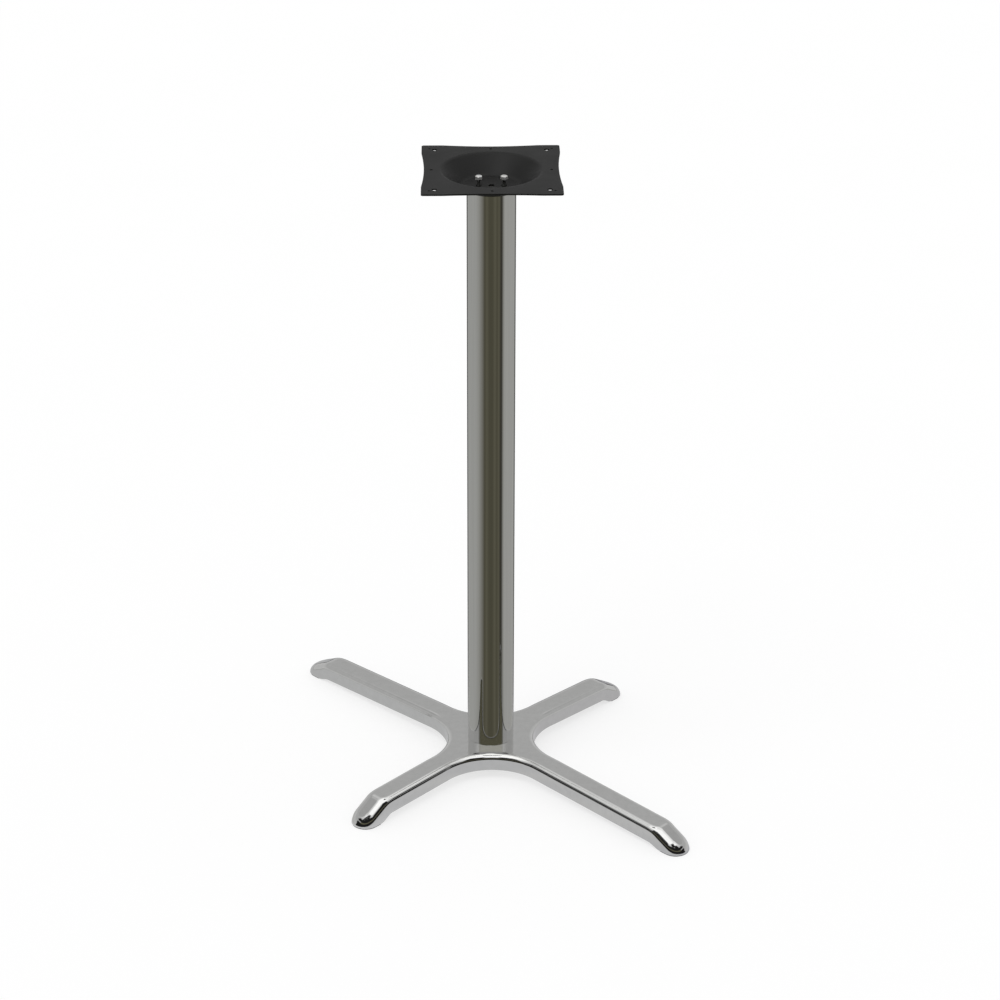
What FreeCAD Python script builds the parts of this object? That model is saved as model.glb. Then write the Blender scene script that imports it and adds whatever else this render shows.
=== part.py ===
import FreeCAD, Part
import math
import os
import Sketcher
from FreeCAD import Vector

# A four-armed table base at bar height: a stamped and chromed base in the form of a cross
# with one long and one short pair of arms, a chromed tube column, and a black stamped
# plate that screws to the underside of a table top. Millimetres, +Z up. The origin lies on
# the floor, on the column's axis. The plate's sides run along X and Y, and the arms run
# halfway between them.

doc = FreeCAD.newDocument("TableBase")


# Driving sizes, in millimetres and degrees, each with what it measures.
SIZES = [
    ("overall_height", 1042, "floor to the top of the plate"),
    ("arm_turn", 45, "angle from the plate's side to the arms"),
    ("column_diameter", 76.2, "outside of the tube"),
    ("column_gauge", 1.5, "wall of the tube"),
    ("plug_thickness", 8, "steel disc welded into each end of the tube"),
    ("plug_gap", 0.1, "between a disc's rim and the tube"),
    ("plug_bore", 9.5, "hole in the middle of the discs and of the plate"),
    ("arm_width", 46, "across an arm"),
    ("long_reach", 433, "axis to the tip of a long arm"),
    ("short_reach", 312, "axis to the tip of a short arm"),
    ("hub_height", 43, "floor to the level top of the hub"),
    ("channel_depth", 26.5, "top of an arm to the lower edge of its sides"),
    ("arm_fall", 2, "slope of the arms, in degrees"),
    ("crest_round", 400, "bend from the level hub to the sloping arm"),
    ("valley_round", 95, "plan radius between two arms"),
    ("edge_round", 8.5, "radius along the top edges"),
    ("base_gauge", 2, "sheet of the base"),
    ("toe_run", 55, "length of an arm that slopes down to the floor"),
    ("toe_bend", 30, "radius where that slope starts"),
    ("toe_tip", 10, "floor to the end of that slope"),
    ("toe_floor", 36, "length of a toe's level lower edge"),
    ("toe_ramp", 24, "length over which the lower edge comes down to it"),
    ("glide_foot", 1.5, "part of a glide under the steel edge"),
    ("glide_inset", 0.8, "a glide's foot behind the toe's outer face"),
    ("glide_height", 10, "top of a glide above the floor"),
    ("glide_front", 6, "glide's block ahead of the middle of the toe's round end"),
    ("glide_side_gap", 1.4, "glide's block to the toe's inner wall"),
    ("glide_wall", 2.5, "wall of the hollow glide"),
    ("glide_floor", 3, "floor of the hollow glide above its foot"),
    ("glide_rib", 2, "width of the ribs that grip the toe"),
    ("glide_back_rib", 1.8, "back rib ahead of the glide's back edge"),
    ("glide_front_rib", 7.3, "front rib ahead of the glide's back edge"),
    ("plate_side", 214.6, "side of the square plate at its corners"),
    ("plate_gauge", 2.5, "sheet of the plate"),
    ("plate_bow", 4, "how far the middle of each side is drawn in"),
    ("plate_bow_span", 150, "length of side that is drawn in"),
    ("plate_bow_round", 60, "radius where the drawn-in part starts"),
    ("plate_corner_round", 4, "corner radius of the plate"),
    ("dish_mouth", 162, "diameter at which the dish leaves the flat flange"),
    ("dish_depth", 26, "top of the flange to the floor of the dish"),
    ("dish_margin", 1.9, "flat floor of the dish beyond the tube"),
    ("dish_lip_round", 10, "radius at the mouth of the dish"),
    ("dish_floor_round", 14, "radius at the floor of the dish"),
    ("corner_hole_spacing", 174, "between the screw holes at the corners"),
    ("corner_hole", 8.5, "their diameter"),
    ("pilot_step_x", 8, "pilot hole beyond the corner hole, along X"),
    ("pilot_step_y", 5, "pilot hole beyond the corner hole, along Y"),
    ("pilot_hole", 3.5, "its diameter"),
    ("side_hole_spacing", 184, "between the screw holes at the middle of the sides"),
    ("side_hole", 4.5, "their diameter"),
    ("bolt_spacing", 38.8, "between the two bolts at either end of the column"),
    ("plate_bolt", 6, "diameter of the plate's bolts"),
    ("plate_bolt_gap", 1.25, "round them in the plate"),
    ("plate_bolt_length", 30, "under the head"),
    ("plate_bolt_flats", 10, "across the flats of the head"),
    ("plate_bolt_head", 5.5, "height of the head"),
    ("plate_bolt_stand", 10, "head above the floor of the dish"),
    ("base_bolt", 8, "diameter of the base's bolts"),
    ("base_bolt_gap", 0.5, "round them in the base"),
    ("base_bolt_length", 25, "under the head"),
    ("base_bolt_flats", 13, "across the flats of the head"),
    ("base_bolt_head", 5.3, "height of the head"),
    ("bolt_chamfer", 30, "slope of the chamfer on a bolt's head, in degrees"),
    ("washer_diameter", 16, "flat washer"),
    ("washer_thickness", 1.6, "flat washer"),
    ("washer_gap", 0.2, "round the bolt in both washers"),
    ("lock_washer_diameter", 13.6, "split washer"),
    ("lock_washer_thickness", 2, "split washer"),
    ("lock_washer_slit", 1.5, "width of its split"),
    ("hub_plate_gauge", 3, "plate that stiffens the hub from below"),
    ("hub_plate_gap", 3, "its rim to the rounded edge of the hub"),
    ("hub_plate_bore", 20, "hole in its middle"),
]

sheet = doc.addObject("Spreadsheet::Sheet", "Sizes")
for row, (alias, number, meaning) in enumerate(SIZES, start=1):
    sheet.set("A%d" % row, alias)
    sheet.set("B%d" % row, str(number))
    sheet.set("C%d" % row, meaning)
    sheet.setAlias("B%d" % row, alias)
doc.recompute()


def size(alias):
    """A driving size as a plain number."""
    return float(getattr(sheet, alias))


# Sizes that several pieces share, worked out from the driving ones.
LEVEL_REACH = "(Sizes.arm_width / 2 + Sizes.valley_round)"
CHANNEL_EDGE = "(Sizes.hub_height - Sizes.channel_depth)"
COLUMN_TOP = "(Sizes.overall_height - Sizes.dish_depth - Sizes.plate_gauge)"
COLUMN_BORE = "(Sizes.column_diameter / 2 - Sizes.column_gauge)"
HUB_UNDERSIDE = "(Sizes.hub_height - Sizes.base_gauge)"
WASHER_SEAT = "(%s - Sizes.hub_plate_gauge)" % HUB_UNDERSIDE
LOCK_WASHER_SEAT = "(%s - Sizes.washer_thickness)" % WASHER_SEAT
HEAD_SEAT = "(%s - Sizes.lock_washer_thickness)" % LOCK_WASHER_SEAT
DISH_FLOOR = "(Sizes.overall_height - Sizes.dish_depth)"

# How far a cutting shape reaches past what it cuts.
OVERCUT = 10

# Two lengths nearer than this are taken as equal when edges are picked out.
NEAR = 0.01


def origin_plane(body, role):
    """One of a body's own origin planes."""
    for feature in body.Origin.OriginFeatures:
        if feature.Role == role:
            return feature
    raise ValueError(role)


def new_body(label):
    body = doc.addObject("PartDesign::Body", label)
    body.Label = label
    return body


def new_sketch(body, name, role, lift=None):
    """A sketch on one of the body's origin planes, raised by an expression."""
    sketch = body.newObject("Sketcher::SketchObject", name)
    sketch.AttachmentSupport = [(origin_plane(body, role), "")]
    sketch.MapMode = "FlatFace"
    if lift:
        sketch.setExpression("AttachmentOffset.Base.z", lift)
    return sketch


def bind(sketch, name, expression, kind, *parts):
    """A named dimension of a sketch, driven by an expression."""
    index = sketch.addConstraint(Sketcher.Constraint(kind, *parts))
    sketch.renameConstraint(index, name)
    sketch.setExpression("Constraints." + name, expression)


def circle(sketch, name, radius, x=None, y=None):
    """A circle of a driven radius, centred on the origin or at driven x and y."""
    rough = Vector(30 if x else 0, 30 if y else 0, 0)
    index = sketch.addGeometry(Part.Circle(rough, Vector(0, 0, 1), 5))
    bind(sketch, name, radius, "Radius", index, 5)
    if x is None and y is None:
        sketch.addConstraint(Sketcher.Constraint("Coincident", index, 3, -1, 1))
        return
    if x is None:
        sketch.addConstraint(Sketcher.Constraint("PointOnObject", index, 3, -2))
    else:
        bind(sketch, name + "_x", x, "DistanceX", -1, 1, index, 3, rough.x)
    if y is None:
        sketch.addConstraint(Sketcher.Constraint("PointOnObject", index, 3, -1))
    else:
        bind(sketch, name + "_y", y, "DistanceY", -1, 1, index, 3, rough.y)


def outline(sketch, corners):
    """A closed outline of straight lines: each corner has a rough place and two expressions."""
    count = len(corners)
    for index in range(count):
        start = Vector(*corners[index][0])
        end = Vector(*corners[(index + 1) % count][0])
        sketch.addGeometry(Part.LineSegment(start, end))
    for index in range(count):
        following = (index + 1) % count
        sketch.addConstraint(Sketcher.Constraint("Coincident", index, 2, following, 1))
    for index, (rough, x, y) in enumerate(corners):
        bind(sketch, "corner_%d_x" % index, x, "DistanceX", -1, 1, index, 1, rough[0])
        bind(sketch, "corner_%d_y" % index, y, "DistanceY", -1, 1, index, 1, rough[1])


def pad(body, name, sketch, length):
    feature = body.newObject("PartDesign::Pad", name)
    feature.Profile = sketch
    feature.setExpression("Length", length)
    return feature


def pocket(body, name, sketch, length, symmetric=False):
    """A cut from the sketch's plane, to both sides of it if symmetric."""
    feature = body.newObject("PartDesign::Pocket", name)
    feature.Profile = sketch
    feature.Type = "Length"
    if symmetric:
        feature.SideType = "Symmetric"
    feature.setExpression("Length", length)
    return feature


def mirrored(body, name, original, role):
    """A feature repeated on the other side of an origin plane."""
    doc.recompute()
    feature = body.newObject("PartDesign::Mirrored", name)
    feature.Originals = [original]
    feature.MirrorPlane = (origin_plane(body, role), [""])
    body.Tip = feature
    return feature


def rounded(body, name, edge_test, radius):
    """A fillet on the edges of the body that pass a test."""
    doc.recompute()
    shape = body.Shape
    edges = ["Edge%d" % (i + 1) for i, edge in enumerate(shape.Edges) if edge_test(shape, edge)]
    before = body.Tip
    feature = body.newObject("PartDesign::Fillet", name)
    feature.Base = (before, edges)
    feature.setExpression("Radius", radius)
    return feature


def upright(edge):
    """The x and y of a vertical edge, or None."""
    if len(edge.Vertexes) < 2:
        return None
    low, high = edge.Vertexes[0].Point, edge.Vertexes[1].Point
    if math.hypot(low.x - high.x, low.y - high.y) > NEAR:
        return None
    return low.x, low.y


# The stamped base. Its outer form and the hollow inside it are made by the same steps, the
# hollow one gauge further in, so the sheet has one thickness all over.

def bar_plan(body, name, along_x, reach, inset, lift):
    """Plan of two opposite arms: straight sides and round ends."""
    sketch = new_sketch(body, name, "XY_Plane", lift)
    half = size("arm_width") / 2
    nose = size(reach) - half
    up = Vector(0, 0, 1)
    if along_x:
        sides = [(Vector(-nose, -half, 0), Vector(nose, -half, 0)),
                 (Vector(nose, half, 0), Vector(-nose, half, 0))]
        noses = [Vector(nose, 0, 0), Vector(-nose, 0, 0)]
        start = -math.pi / 2
    else:
        sides = [(Vector(half, -nose, 0), Vector(half, nose, 0)),
                 (Vector(-half, nose, 0), Vector(-half, -nose, 0))]
        noses = [Vector(0, nose, 0), Vector(0, -nose, 0)]
        start = 0
    for (first, last), centre in zip(sides, noses):
        sketch.addGeometry(Part.LineSegment(first, last))
        sketch.addGeometry(Part.ArcOfCircle(Part.Circle(centre, up, half), start, start + math.pi))
        start += math.pi
    for index in range(4):
        sketch.addConstraint(Sketcher.Constraint("Tangent", index, 2, (index + 1) % 4, 1))
    sketch.addConstraint(Sketcher.Constraint("Equal", 1, 3))
    sketch.addConstraint(Sketcher.Constraint("Symmetric", 1, 3, 3, 3, -1, 1))
    sketch.addConstraint(Sketcher.Constraint("PointOnObject", 1, 3, -1 if along_x else -2))
    bind(sketch, "half_width", "Sizes.arm_width / 2 - %s" % inset, "Radius", 1, half)
    centre = "Sizes.%s - Sizes.arm_width / 2" % reach
    bind(sketch, "nose", centre, "DistanceX" if along_x else "DistanceY", -1, 1, 1, 3, nose)
    return sketch


def crest_shape(reach):
    """Rough points and radii of the line along the top of an arm, for a sketch to start from."""
    fall = math.radians(size("arm_fall"))
    level = size("arm_width") / 2 + size("valley_round")
    crest = size("crest_round")
    crest_centre = Vector(level, size("hub_height") - crest, 0)
    slope_start = crest_centre + Vector(math.sin(fall), math.cos(fall), 0) * crest
    toe_x = size(reach) - size("toe_run")
    toe_start = Vector(toe_x, slope_start.y - (toe_x - slope_start.x) * math.tan(fall), 0)
    tip = Vector(size(reach), size("toe_tip"), 0)
    bend = size("toe_bend")
    bend_centre = toe_start - Vector(math.sin(fall), math.cos(fall), 0) * bend
    to_tip = tip - bend_centre
    steep = math.atan2(to_tip.y, to_tip.x) + math.acos(bend / to_tip.Length)
    toe_end = bend_centre + Vector(math.cos(steep), math.sin(steep), 0) * bend
    return fall, crest_centre, crest, slope_start, toe_start, bend_centre, bend, toe_end, tip


def above_arm(body, name, role, reach, follows=None):
    """What is cut away above an arm. The hollow's sketch follows the outer one, a gauge below."""
    sketch = new_sketch(body, name, role)
    (fall, crest_centre, crest, slope_start, toe_start,
     bend_centre, bend, toe_end, tip) = crest_shape(reach)
    up = Vector(0, 0, 1)
    level = crest_centre.x
    top = crest_centre.y + crest + OVERCUT
    end = tip.x + OVERCUT
    steep = math.atan2(toe_end.y - bend_centre.y, toe_end.x - bend_centre.x)
    quarter = math.pi / 2
    crest_circle = Part.Circle(crest_centre, up, crest)
    bend_circle = Part.Circle(bend_centre, up, bend)
    sketch.addGeometry(Part.ArcOfCircle(crest_circle, quarter - fall, quarter))
    sketch.addGeometry(Part.LineSegment(slope_start, toe_start))
    sketch.addGeometry(Part.ArcOfCircle(bend_circle, steep, quarter - fall))
    sketch.addGeometry(Part.LineSegment(toe_end, tip))
    sketch.addGeometry(Part.LineSegment(tip, Vector(end, tip.y, 0)))
    sketch.addGeometry(Part.LineSegment(Vector(end, tip.y, 0), Vector(end, top, 0)))
    sketch.addGeometry(Part.LineSegment(Vector(end, top, 0), Vector(level, top, 0)))
    sketch.addGeometry(Part.LineSegment(Vector(level, top, 0), Vector(level, top - OVERCUT, 0)))
    rules = [("Tangent", 0, 1, 1, 1), ("Tangent", 1, 2, 2, 2), ("Tangent", 2, 1, 3, 1),
             ("Coincident", 3, 2, 4, 1), ("Coincident", 4, 2, 5, 1), ("Coincident", 5, 2, 6, 1),
             ("Coincident", 6, 2, 7, 1), ("Coincident", 7, 2, 0, 2), ("Horizontal", 4),
             ("Vertical", 5), ("Horizontal", 6), ("Vertical", 7), ("Vertical", 0, 3, 0, 2)]
    for rule in rules:
        sketch.addConstraint(Sketcher.Constraint(*rule))
    bind(sketch, "level_reach", LEVEL_REACH, "DistanceX", -1, 1, 0, 3, level)
    bind(sketch, "past_tip", str(OVERCUT), "DistanceX", 4, 1, 4, 2, OVERCUT)
    bind(sketch, "over_hub", str(OVERCUT), "DistanceY", 0, 2, 7, 1, OVERCUT)
    if follows is None:
        bind(sketch, "hub_height", "Sizes.hub_height", "DistanceY", -1, 1, 0, 2, top - OVERCUT)
        bind(sketch, "crest_round", "Sizes.crest_round", "Radius", 0, crest)
        bind(sketch, "fall", "-Sizes.arm_fall * 1 deg", "Angle", 1, -fall)
        toe_x = "Sizes.%s - Sizes.toe_run" % reach
        bind(sketch, "toe_start", toe_x, "DistanceX", -1, 1, 1, 2, toe_start.x)
        bind(sketch, "bend_round", "Sizes.toe_bend", "Radius", 2, bend)
        bind(sketch, "reach", "Sizes." + reach, "DistanceX", -1, 1, 3, 2, tip.x)
        bind(sketch, "tip_height", "Sizes.toe_tip", "DistanceY", -1, 1, 3, 2, tip.y)
        measured = [("toe_slope", "Angle", (3,)), ("bend_x", "DistanceX", (-1, 1, 2, 3)),
                    ("bend_y", "DistanceY", (-1, 1, 2, 3))]
        for measure, kind, parts in measured:
            index = sketch.addConstraint(Sketcher.Constraint(kind, *parts, 1.0))
            sketch.setDriving(index, False)
            sketch.renameConstraint(index, measure)
    else:
        source = follows.Name + ".Constraints."
        under_hub = "Sizes.hub_height - Sizes.base_gauge"
        bind(sketch, "hub_height", under_hub, "DistanceY", -1, 1, 0, 2, top - OVERCUT)
        bind(sketch, "crest_round", "Sizes.crest_round - Sizes.base_gauge", "Radius", 0, crest)
        bind(sketch, "bend_round", "Sizes.toe_bend - Sizes.base_gauge", "Radius", 2, bend)
        bind(sketch, "bend_x", source + "bend_x", "DistanceX", -1, 1, 2, 3, bend_centre.x)
        bind(sketch, "bend_y", source + "bend_y", "DistanceY", -1, 1, 2, 3, bend_centre.y)
        toe_slope = math.atan2(tip.y - toe_end.y, tip.x - toe_end.x)
        bind(sketch, "toe_slope", source + "toe_slope", "Angle", 3, toe_slope)
        reach_inside = "Sizes.%s - Sizes.base_gauge" % reach
        bind(sketch, "reach", reach_inside, "DistanceX", -1, 1, 3, 2, tip.x)
    return sketch


def below_arm(body, name, role, reach):
    """What is cut away below an arm: level at the hub, parallel to the top, down at the toe."""
    sketch = new_sketch(body, name, role)
    level = size("arm_width") / 2 + size("valley_round")
    edge = size("hub_height") - size("channel_depth")
    toe = size(reach) - size("toe_floor")
    ramp = toe - size("toe_ramp")
    toe_x = "Sizes.%s - Sizes.toe_floor" % reach
    ramp_x = "%s - Sizes.toe_ramp" % toe_x
    slope = "tan(Sizes.arm_fall * 1 deg)"
    ramp_y = "%s - (%s - %s) * %s" % (CHANNEL_EDGE, ramp_x, LEVEL_REACH, slope)
    ramp_height = edge - (ramp - level) * math.tan(math.radians(size("arm_fall")))
    outline(sketch, [
        ((0, -OVERCUT), "0", str(-OVERCUT)),
        ((toe, -OVERCUT), toe_x, str(-OVERCUT)),
        ((toe, size("glide_foot")), toe_x, "Sizes.glide_foot"),
        ((ramp, ramp_height), ramp_x, ramp_y),
        ((level, edge), LEVEL_REACH, CHANNEL_EDGE),
        ((0, edge), "0", CHANNEL_EDGE),
    ])
    return sketch


def facing(face, point):
    """The upward part of a face's outward normal at a point."""
    u, v = face.Surface.parameter(point)
    return face.normalAt(u, v).z


def between_top_and_wall(shape, edge):
    """True for an edge where the top of the base meets an upright wall."""
    faces = shape.ancestorsOfType(edge, Part.Face)
    if len(faces) != 2:
        return False
    middle = edge.valueAt((edge.FirstParameter + edge.LastParameter) / 2)
    normals = sorted(facing(face, middle) for face in faces)
    return abs(normals[0]) < 1e-3 and normals[1] > 0.1


def between_arms(shape, edge):
    """True for the four upright edges where two arms meet."""
    spot = upright(edge)
    if spot is None:
        return False
    return abs(abs(spot[0]) - abs(spot[1])) < NEAR and abs(spot[0]) > 1


def cross_form(label, inset, lift, round_more, follows=None):
    """The cross with its arms bent down at the toes, as a full solid."""
    body = new_body(label)
    height = "Sizes.hub_height - %s - %s" % (inset, lift)
    for bar, along_x, reach in (("long", True, "long_reach"), ("short", False, "short_reach")):
        plan = bar_plan(body, "%s_%s_plan" % (label, bar), along_x, reach, inset, lift)
        pad(body, "%s_%s_bar" % (label, bar), plan, height)
    rounded(body, label + "_valleys", between_arms, "Sizes.valley_round + %s" % round_more)
    width = "2 * %s + %s" % (LEVEL_REACH, OVERCUT)
    tops = {}
    bars = (("long", "XZ_Plane", "YZ_Plane"), ("short", "YZ_Plane", "XZ_Plane"))
    for bar, role, mirror_role in bars:
        name = "%s_%s" % (label, bar)
        reach = bar + "_reach"
        source = follows[bar] if follows else None
        tops[bar] = above_arm(body, name + "_crest", role, reach, source)
        cut = pocket(body, name + "_above", tops[bar], width, symmetric=True)
        mirrored(body, name + "_above_pair", cut, mirror_role)
        if follows is None:
            below = below_arm(body, name + "_edge", role, reach)
            cut = pocket(body, name + "_below", below, width, symmetric=True)
            mirrored(body, name + "_below_pair", cut, mirror_role)
    rounded(body, label + "_crown", between_top_and_wall, "Sizes.edge_round - %s" % round_more)
    return body, tops


def bolt_pair(sketch, radius):
    """Two circles for the column's bolts, along the sketch's X."""
    for name, side in (("one", "1"), ("two", "-1")):
        x = "%s * Sizes.bolt_spacing / 2" % side
        circle(sketch, "bolt_" + name, radius, x=x)


def base_shell():
    outer, crests = cross_form("base_outside", "0", "Sizes.glide_foot", "0")
    holes = new_sketch(outer, "base_bolt_holes", "XY_Plane", "Sizes.hub_height")
    bolt_pair(holes, "Sizes.base_bolt / 2 + Sizes.base_bolt_gap")
    pocket(outer, "base_bolt_cut", holes, "Sizes.hub_height")
    gauge = "Sizes.base_gauge"
    hollow = cross_form("base_hollow", gauge, "0", gauge, follows=crests)[0]
    shell = doc.addObject("Part::Cut", "base_shell")
    shell.Label = "base_shell"
    shell.Base = outer
    shell.Tool = hollow
    return turn_with_arms(shell)


def turn_with_arms(piece):
    """Turns a piece that was drawn along the arms to where the arms point."""
    piece.Placement = FreeCAD.Placement(Vector(), FreeCAD.Rotation(Vector(0, 0, 1), 1))
    piece.setExpression("Placement.Rotation.Angle", "-Sizes.arm_turn * 1 deg")
    return piece


def hub_plate():
    """The disc that stiffens the hub, under its level top."""
    body = new_body("hub_plate")
    sketch = new_sketch(body, "hub_plate_disc", "XY_Plane", WASHER_SEAT)
    valley = "(%s * sqrt(2) - Sizes.valley_round)" % LEVEL_REACH
    circle(sketch, "rim", "%s - Sizes.edge_round - Sizes.hub_plate_gap" % valley)
    circle(sketch, "middle", "Sizes.hub_plate_bore / 2")
    bolt_pair(sketch, "Sizes.base_bolt / 2 + Sizes.base_bolt_gap")
    pad(body, "hub_plate_pad", sketch, "Sizes.hub_plate_gauge")
    return turn_with_arms(body)


# The column and the discs welded into its ends.

def column_tube():
    body = new_body("column_tube")
    sketch = new_sketch(body, "tube_ring", "XY_Plane", "Sizes.hub_height")
    circle(sketch, "outside", "Sizes.column_diameter / 2")
    circle(sketch, "inside", COLUMN_BORE)
    pad(body, "tube", sketch, "%s - Sizes.hub_height" % COLUMN_TOP)
    return body


def column_plug(label, foot, bolt):
    """A disc with two tapped holes and a plain hole in the middle."""
    body = new_body(label)
    sketch = new_sketch(body, label + "_disc", "XY_Plane", foot)
    circle(sketch, "rim", "%s - Sizes.plug_gap" % COLUMN_BORE)
    circle(sketch, "middle", "Sizes.plug_bore / 2")
    bolt_pair(sketch, "Sizes.%s / 2" % bolt)
    pad(body, label + "_pad", sketch, "Sizes.plug_thickness")
    return body


# The plate under the table top.

def flange_sketch(body):
    """The plate's outline: a square whose sides are drawn in between their ends."""
    sketch = new_sketch(body, "flange_outline", "XY_Plane", "Sizes.overall_height")
    half = size("plate_side") / 2
    reach = size("plate_bow_span") / 2
    bow = size("plate_bow")
    side = "Sizes.plate_side / 2"
    span = "Sizes.plate_bow_span / 2"
    bow_round = "((%s)^2 + Sizes.plate_bow^2) / (2 * Sizes.plate_bow)" % span
    turns = [(1, 0), (0, 1), (-1, 0), (0, -1)]
    number = 0
    for turn, (ahead, across) in enumerate(turns):
        outward = Vector(ahead, across, 0)
        sideways = Vector(-across, ahead, 0)
        points = [outward * half + sideways * along for along in (-half, -reach, reach, half)]
        sketch.addGeometry(Part.LineSegment(points[0], points[1]))
        sketch.addGeometry(Part.Arc(points[1], outward * (half - bow), points[2]))
        sketch.addGeometry(Part.LineSegment(points[2], points[3]))
        marks = [(number, 1, side, "-1 * " + side), (number, 2, side, "-1 * " + span),
                 (number + 2, 1, side, span)]
        for mark, (index, end, out, along) in enumerate(marks):
            x = "%d * (%s) - %d * (%s)" % (ahead, out, across, along)
            y = "%d * (%s) + %d * (%s)" % (across, out, ahead, along)
            point = points[mark]
            name = "side_%d_%d" % (turn, mark)
            bind(sketch, name + "_x", x, "DistanceX", -1, 1, index, end, point.x)
            bind(sketch, name + "_y", y, "DistanceY", -1, 1, index, end, point.y)
        number += 3
    for index in range(0, number, 3):
        # An arc that bends inwards is drawn clockwise, so its ends change places.
        sketch.addConstraint(Sketcher.Constraint("Coincident", index, 2, index + 1, 2))
        sketch.addConstraint(Sketcher.Constraint("Coincident", index + 1, 1, index + 2, 1))
        following = (index + 3) % number
        sketch.addConstraint(Sketcher.Constraint("Coincident", index + 2, 2, following, 1))
        name = "bow_round_%d" % (index // 3)
        bind(sketch, name, bow_round, "Radius", index + 1, (reach ** 2 + bow ** 2) / (2 * bow))
    circle(sketch, "mouth", "Sizes.dish_mouth / 2")
    return sketch


def dish_sketch(body):
    """Half section of the dish, with its lip and floor rounded, one gauge thick."""
    sketch = new_sketch(body, "dish_section", "XZ_Plane")
    gauge = size("plate_gauge")
    top = size("overall_height")
    mouth = size("dish_mouth") / 2
    floor = size("column_diameter") / 2 + size("dish_margin")
    depth = size("dish_depth")
    lip = size("dish_lip_round")
    hollow = size("dish_floor_round")
    up = Vector(0, 0, 1)
    lip_centre = Vector(mouth, top - lip, 0)
    hollow_centre = Vector(floor, top - depth + hollow, 0)
    line = hollow_centre - lip_centre
    tilt = math.atan2(line.y, -line.x) + math.asin((lip + hollow) / line.Length)
    out = Vector(-math.cos(math.pi / 2 - tilt), math.sin(math.pi / 2 - tilt), 0)
    quarter = math.pi / 2
    for inset in (0, gauge):
        wall_start = lip_centre + out * (lip - inset)
        wall_end = hollow_centre - out * (hollow + inset)
        lip_circle = Part.Circle(lip_centre, up, lip - inset)
        hollow_circle = Part.Circle(hollow_centre, up, hollow + inset)
        sketch.addGeometry(Part.ArcOfCircle(lip_circle, quarter, quarter + tilt))
        sketch.addGeometry(Part.LineSegment(wall_start, wall_end))
        sketch.addGeometry(Part.ArcOfCircle(hollow_circle, -quarter, tilt - quarter))
        level = top - depth - inset
        sketch.addGeometry(Part.LineSegment(Vector(floor, level, 0), Vector(0, level, 0)))
        first = 0 if inset == 0 else 4
        rules = [("Tangent", first, 2, first + 1, 1), ("Tangent", first + 1, 2, first + 2, 2),
                 ("Tangent", first + 2, 1, first + 3, 1), ("PointOnObject", first + 3, 2, -2),
                 ("Vertical", first, 3, first, 1)]
        for rule in rules:
            sketch.addConstraint(Sketcher.Constraint(*rule))
    floor_end = Vector(0, top - depth, 0)
    sketch.addGeometry(Part.LineSegment(floor_end, floor_end - Vector(0, gauge, 0)))
    rim = Vector(mouth, top, 0)
    sketch.addGeometry(Part.LineSegment(rim - Vector(0, gauge, 0), rim))
    rules = [("Coincident", 4, 3, 0, 3), ("Coincident", 6, 3, 2, 3), ("Horizontal", 3),
             ("Horizontal", 7),
             ("Coincident", 8, 1, 3, 2), ("Coincident", 8, 2, 7, 2),
             ("Coincident", 9, 1, 4, 1), ("Coincident", 9, 2, 0, 1)]
    for rule in rules:
        sketch.addConstraint(Sketcher.Constraint(*rule))
    bind(sketch, "mouth", "Sizes.dish_mouth / 2", "DistanceX", -1, 1, 0, 3, mouth)
    bind(sketch, "rim", "Sizes.overall_height", "DistanceY", -1, 1, 0, 1, top)
    bind(sketch, "lip_round", "Sizes.dish_lip_round", "Radius", 0, lip)
    inner_lip = "Sizes.dish_lip_round - Sizes.plate_gauge"
    bind(sketch, "lip_round_below", inner_lip, "Radius", 4, lip - gauge)
    floor_radius = "Sizes.column_diameter / 2 + Sizes.dish_margin"
    bind(sketch, "floor", floor_radius, "DistanceX", -1, 1, 2, 3, floor)
    bind(sketch, "depth", "Sizes.dish_depth", "DistanceY", 3, 2, 0, 1, depth)
    bind(sketch, "floor_round", "Sizes.dish_floor_round", "Radius", 2, hollow)
    outer_floor = "Sizes.dish_floor_round + Sizes.plate_gauge"
    bind(sketch, "floor_round_below", outer_floor, "Radius", 6, hollow + gauge)
    return sketch


def at_corner(shape, edge):
    """True for the four upright edges at the corners of the plate."""
    spot = upright(edge)
    if spot is None:
        return False
    half = size("plate_side") / 2
    return abs(abs(spot[0]) - half) < NEAR and abs(abs(spot[1]) - half) < NEAR


def at_bow_end(shape, edge):
    """True for the upright edges where the drawn-in part of a side starts."""
    spot = upright(edge)
    if spot is None:
        return False
    along, out = sorted((abs(spot[0]), abs(spot[1])))
    at_side = abs(out - size("plate_side") / 2) < NEAR
    return at_side and abs(along - size("plate_bow_span") / 2) < NEAR


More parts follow.
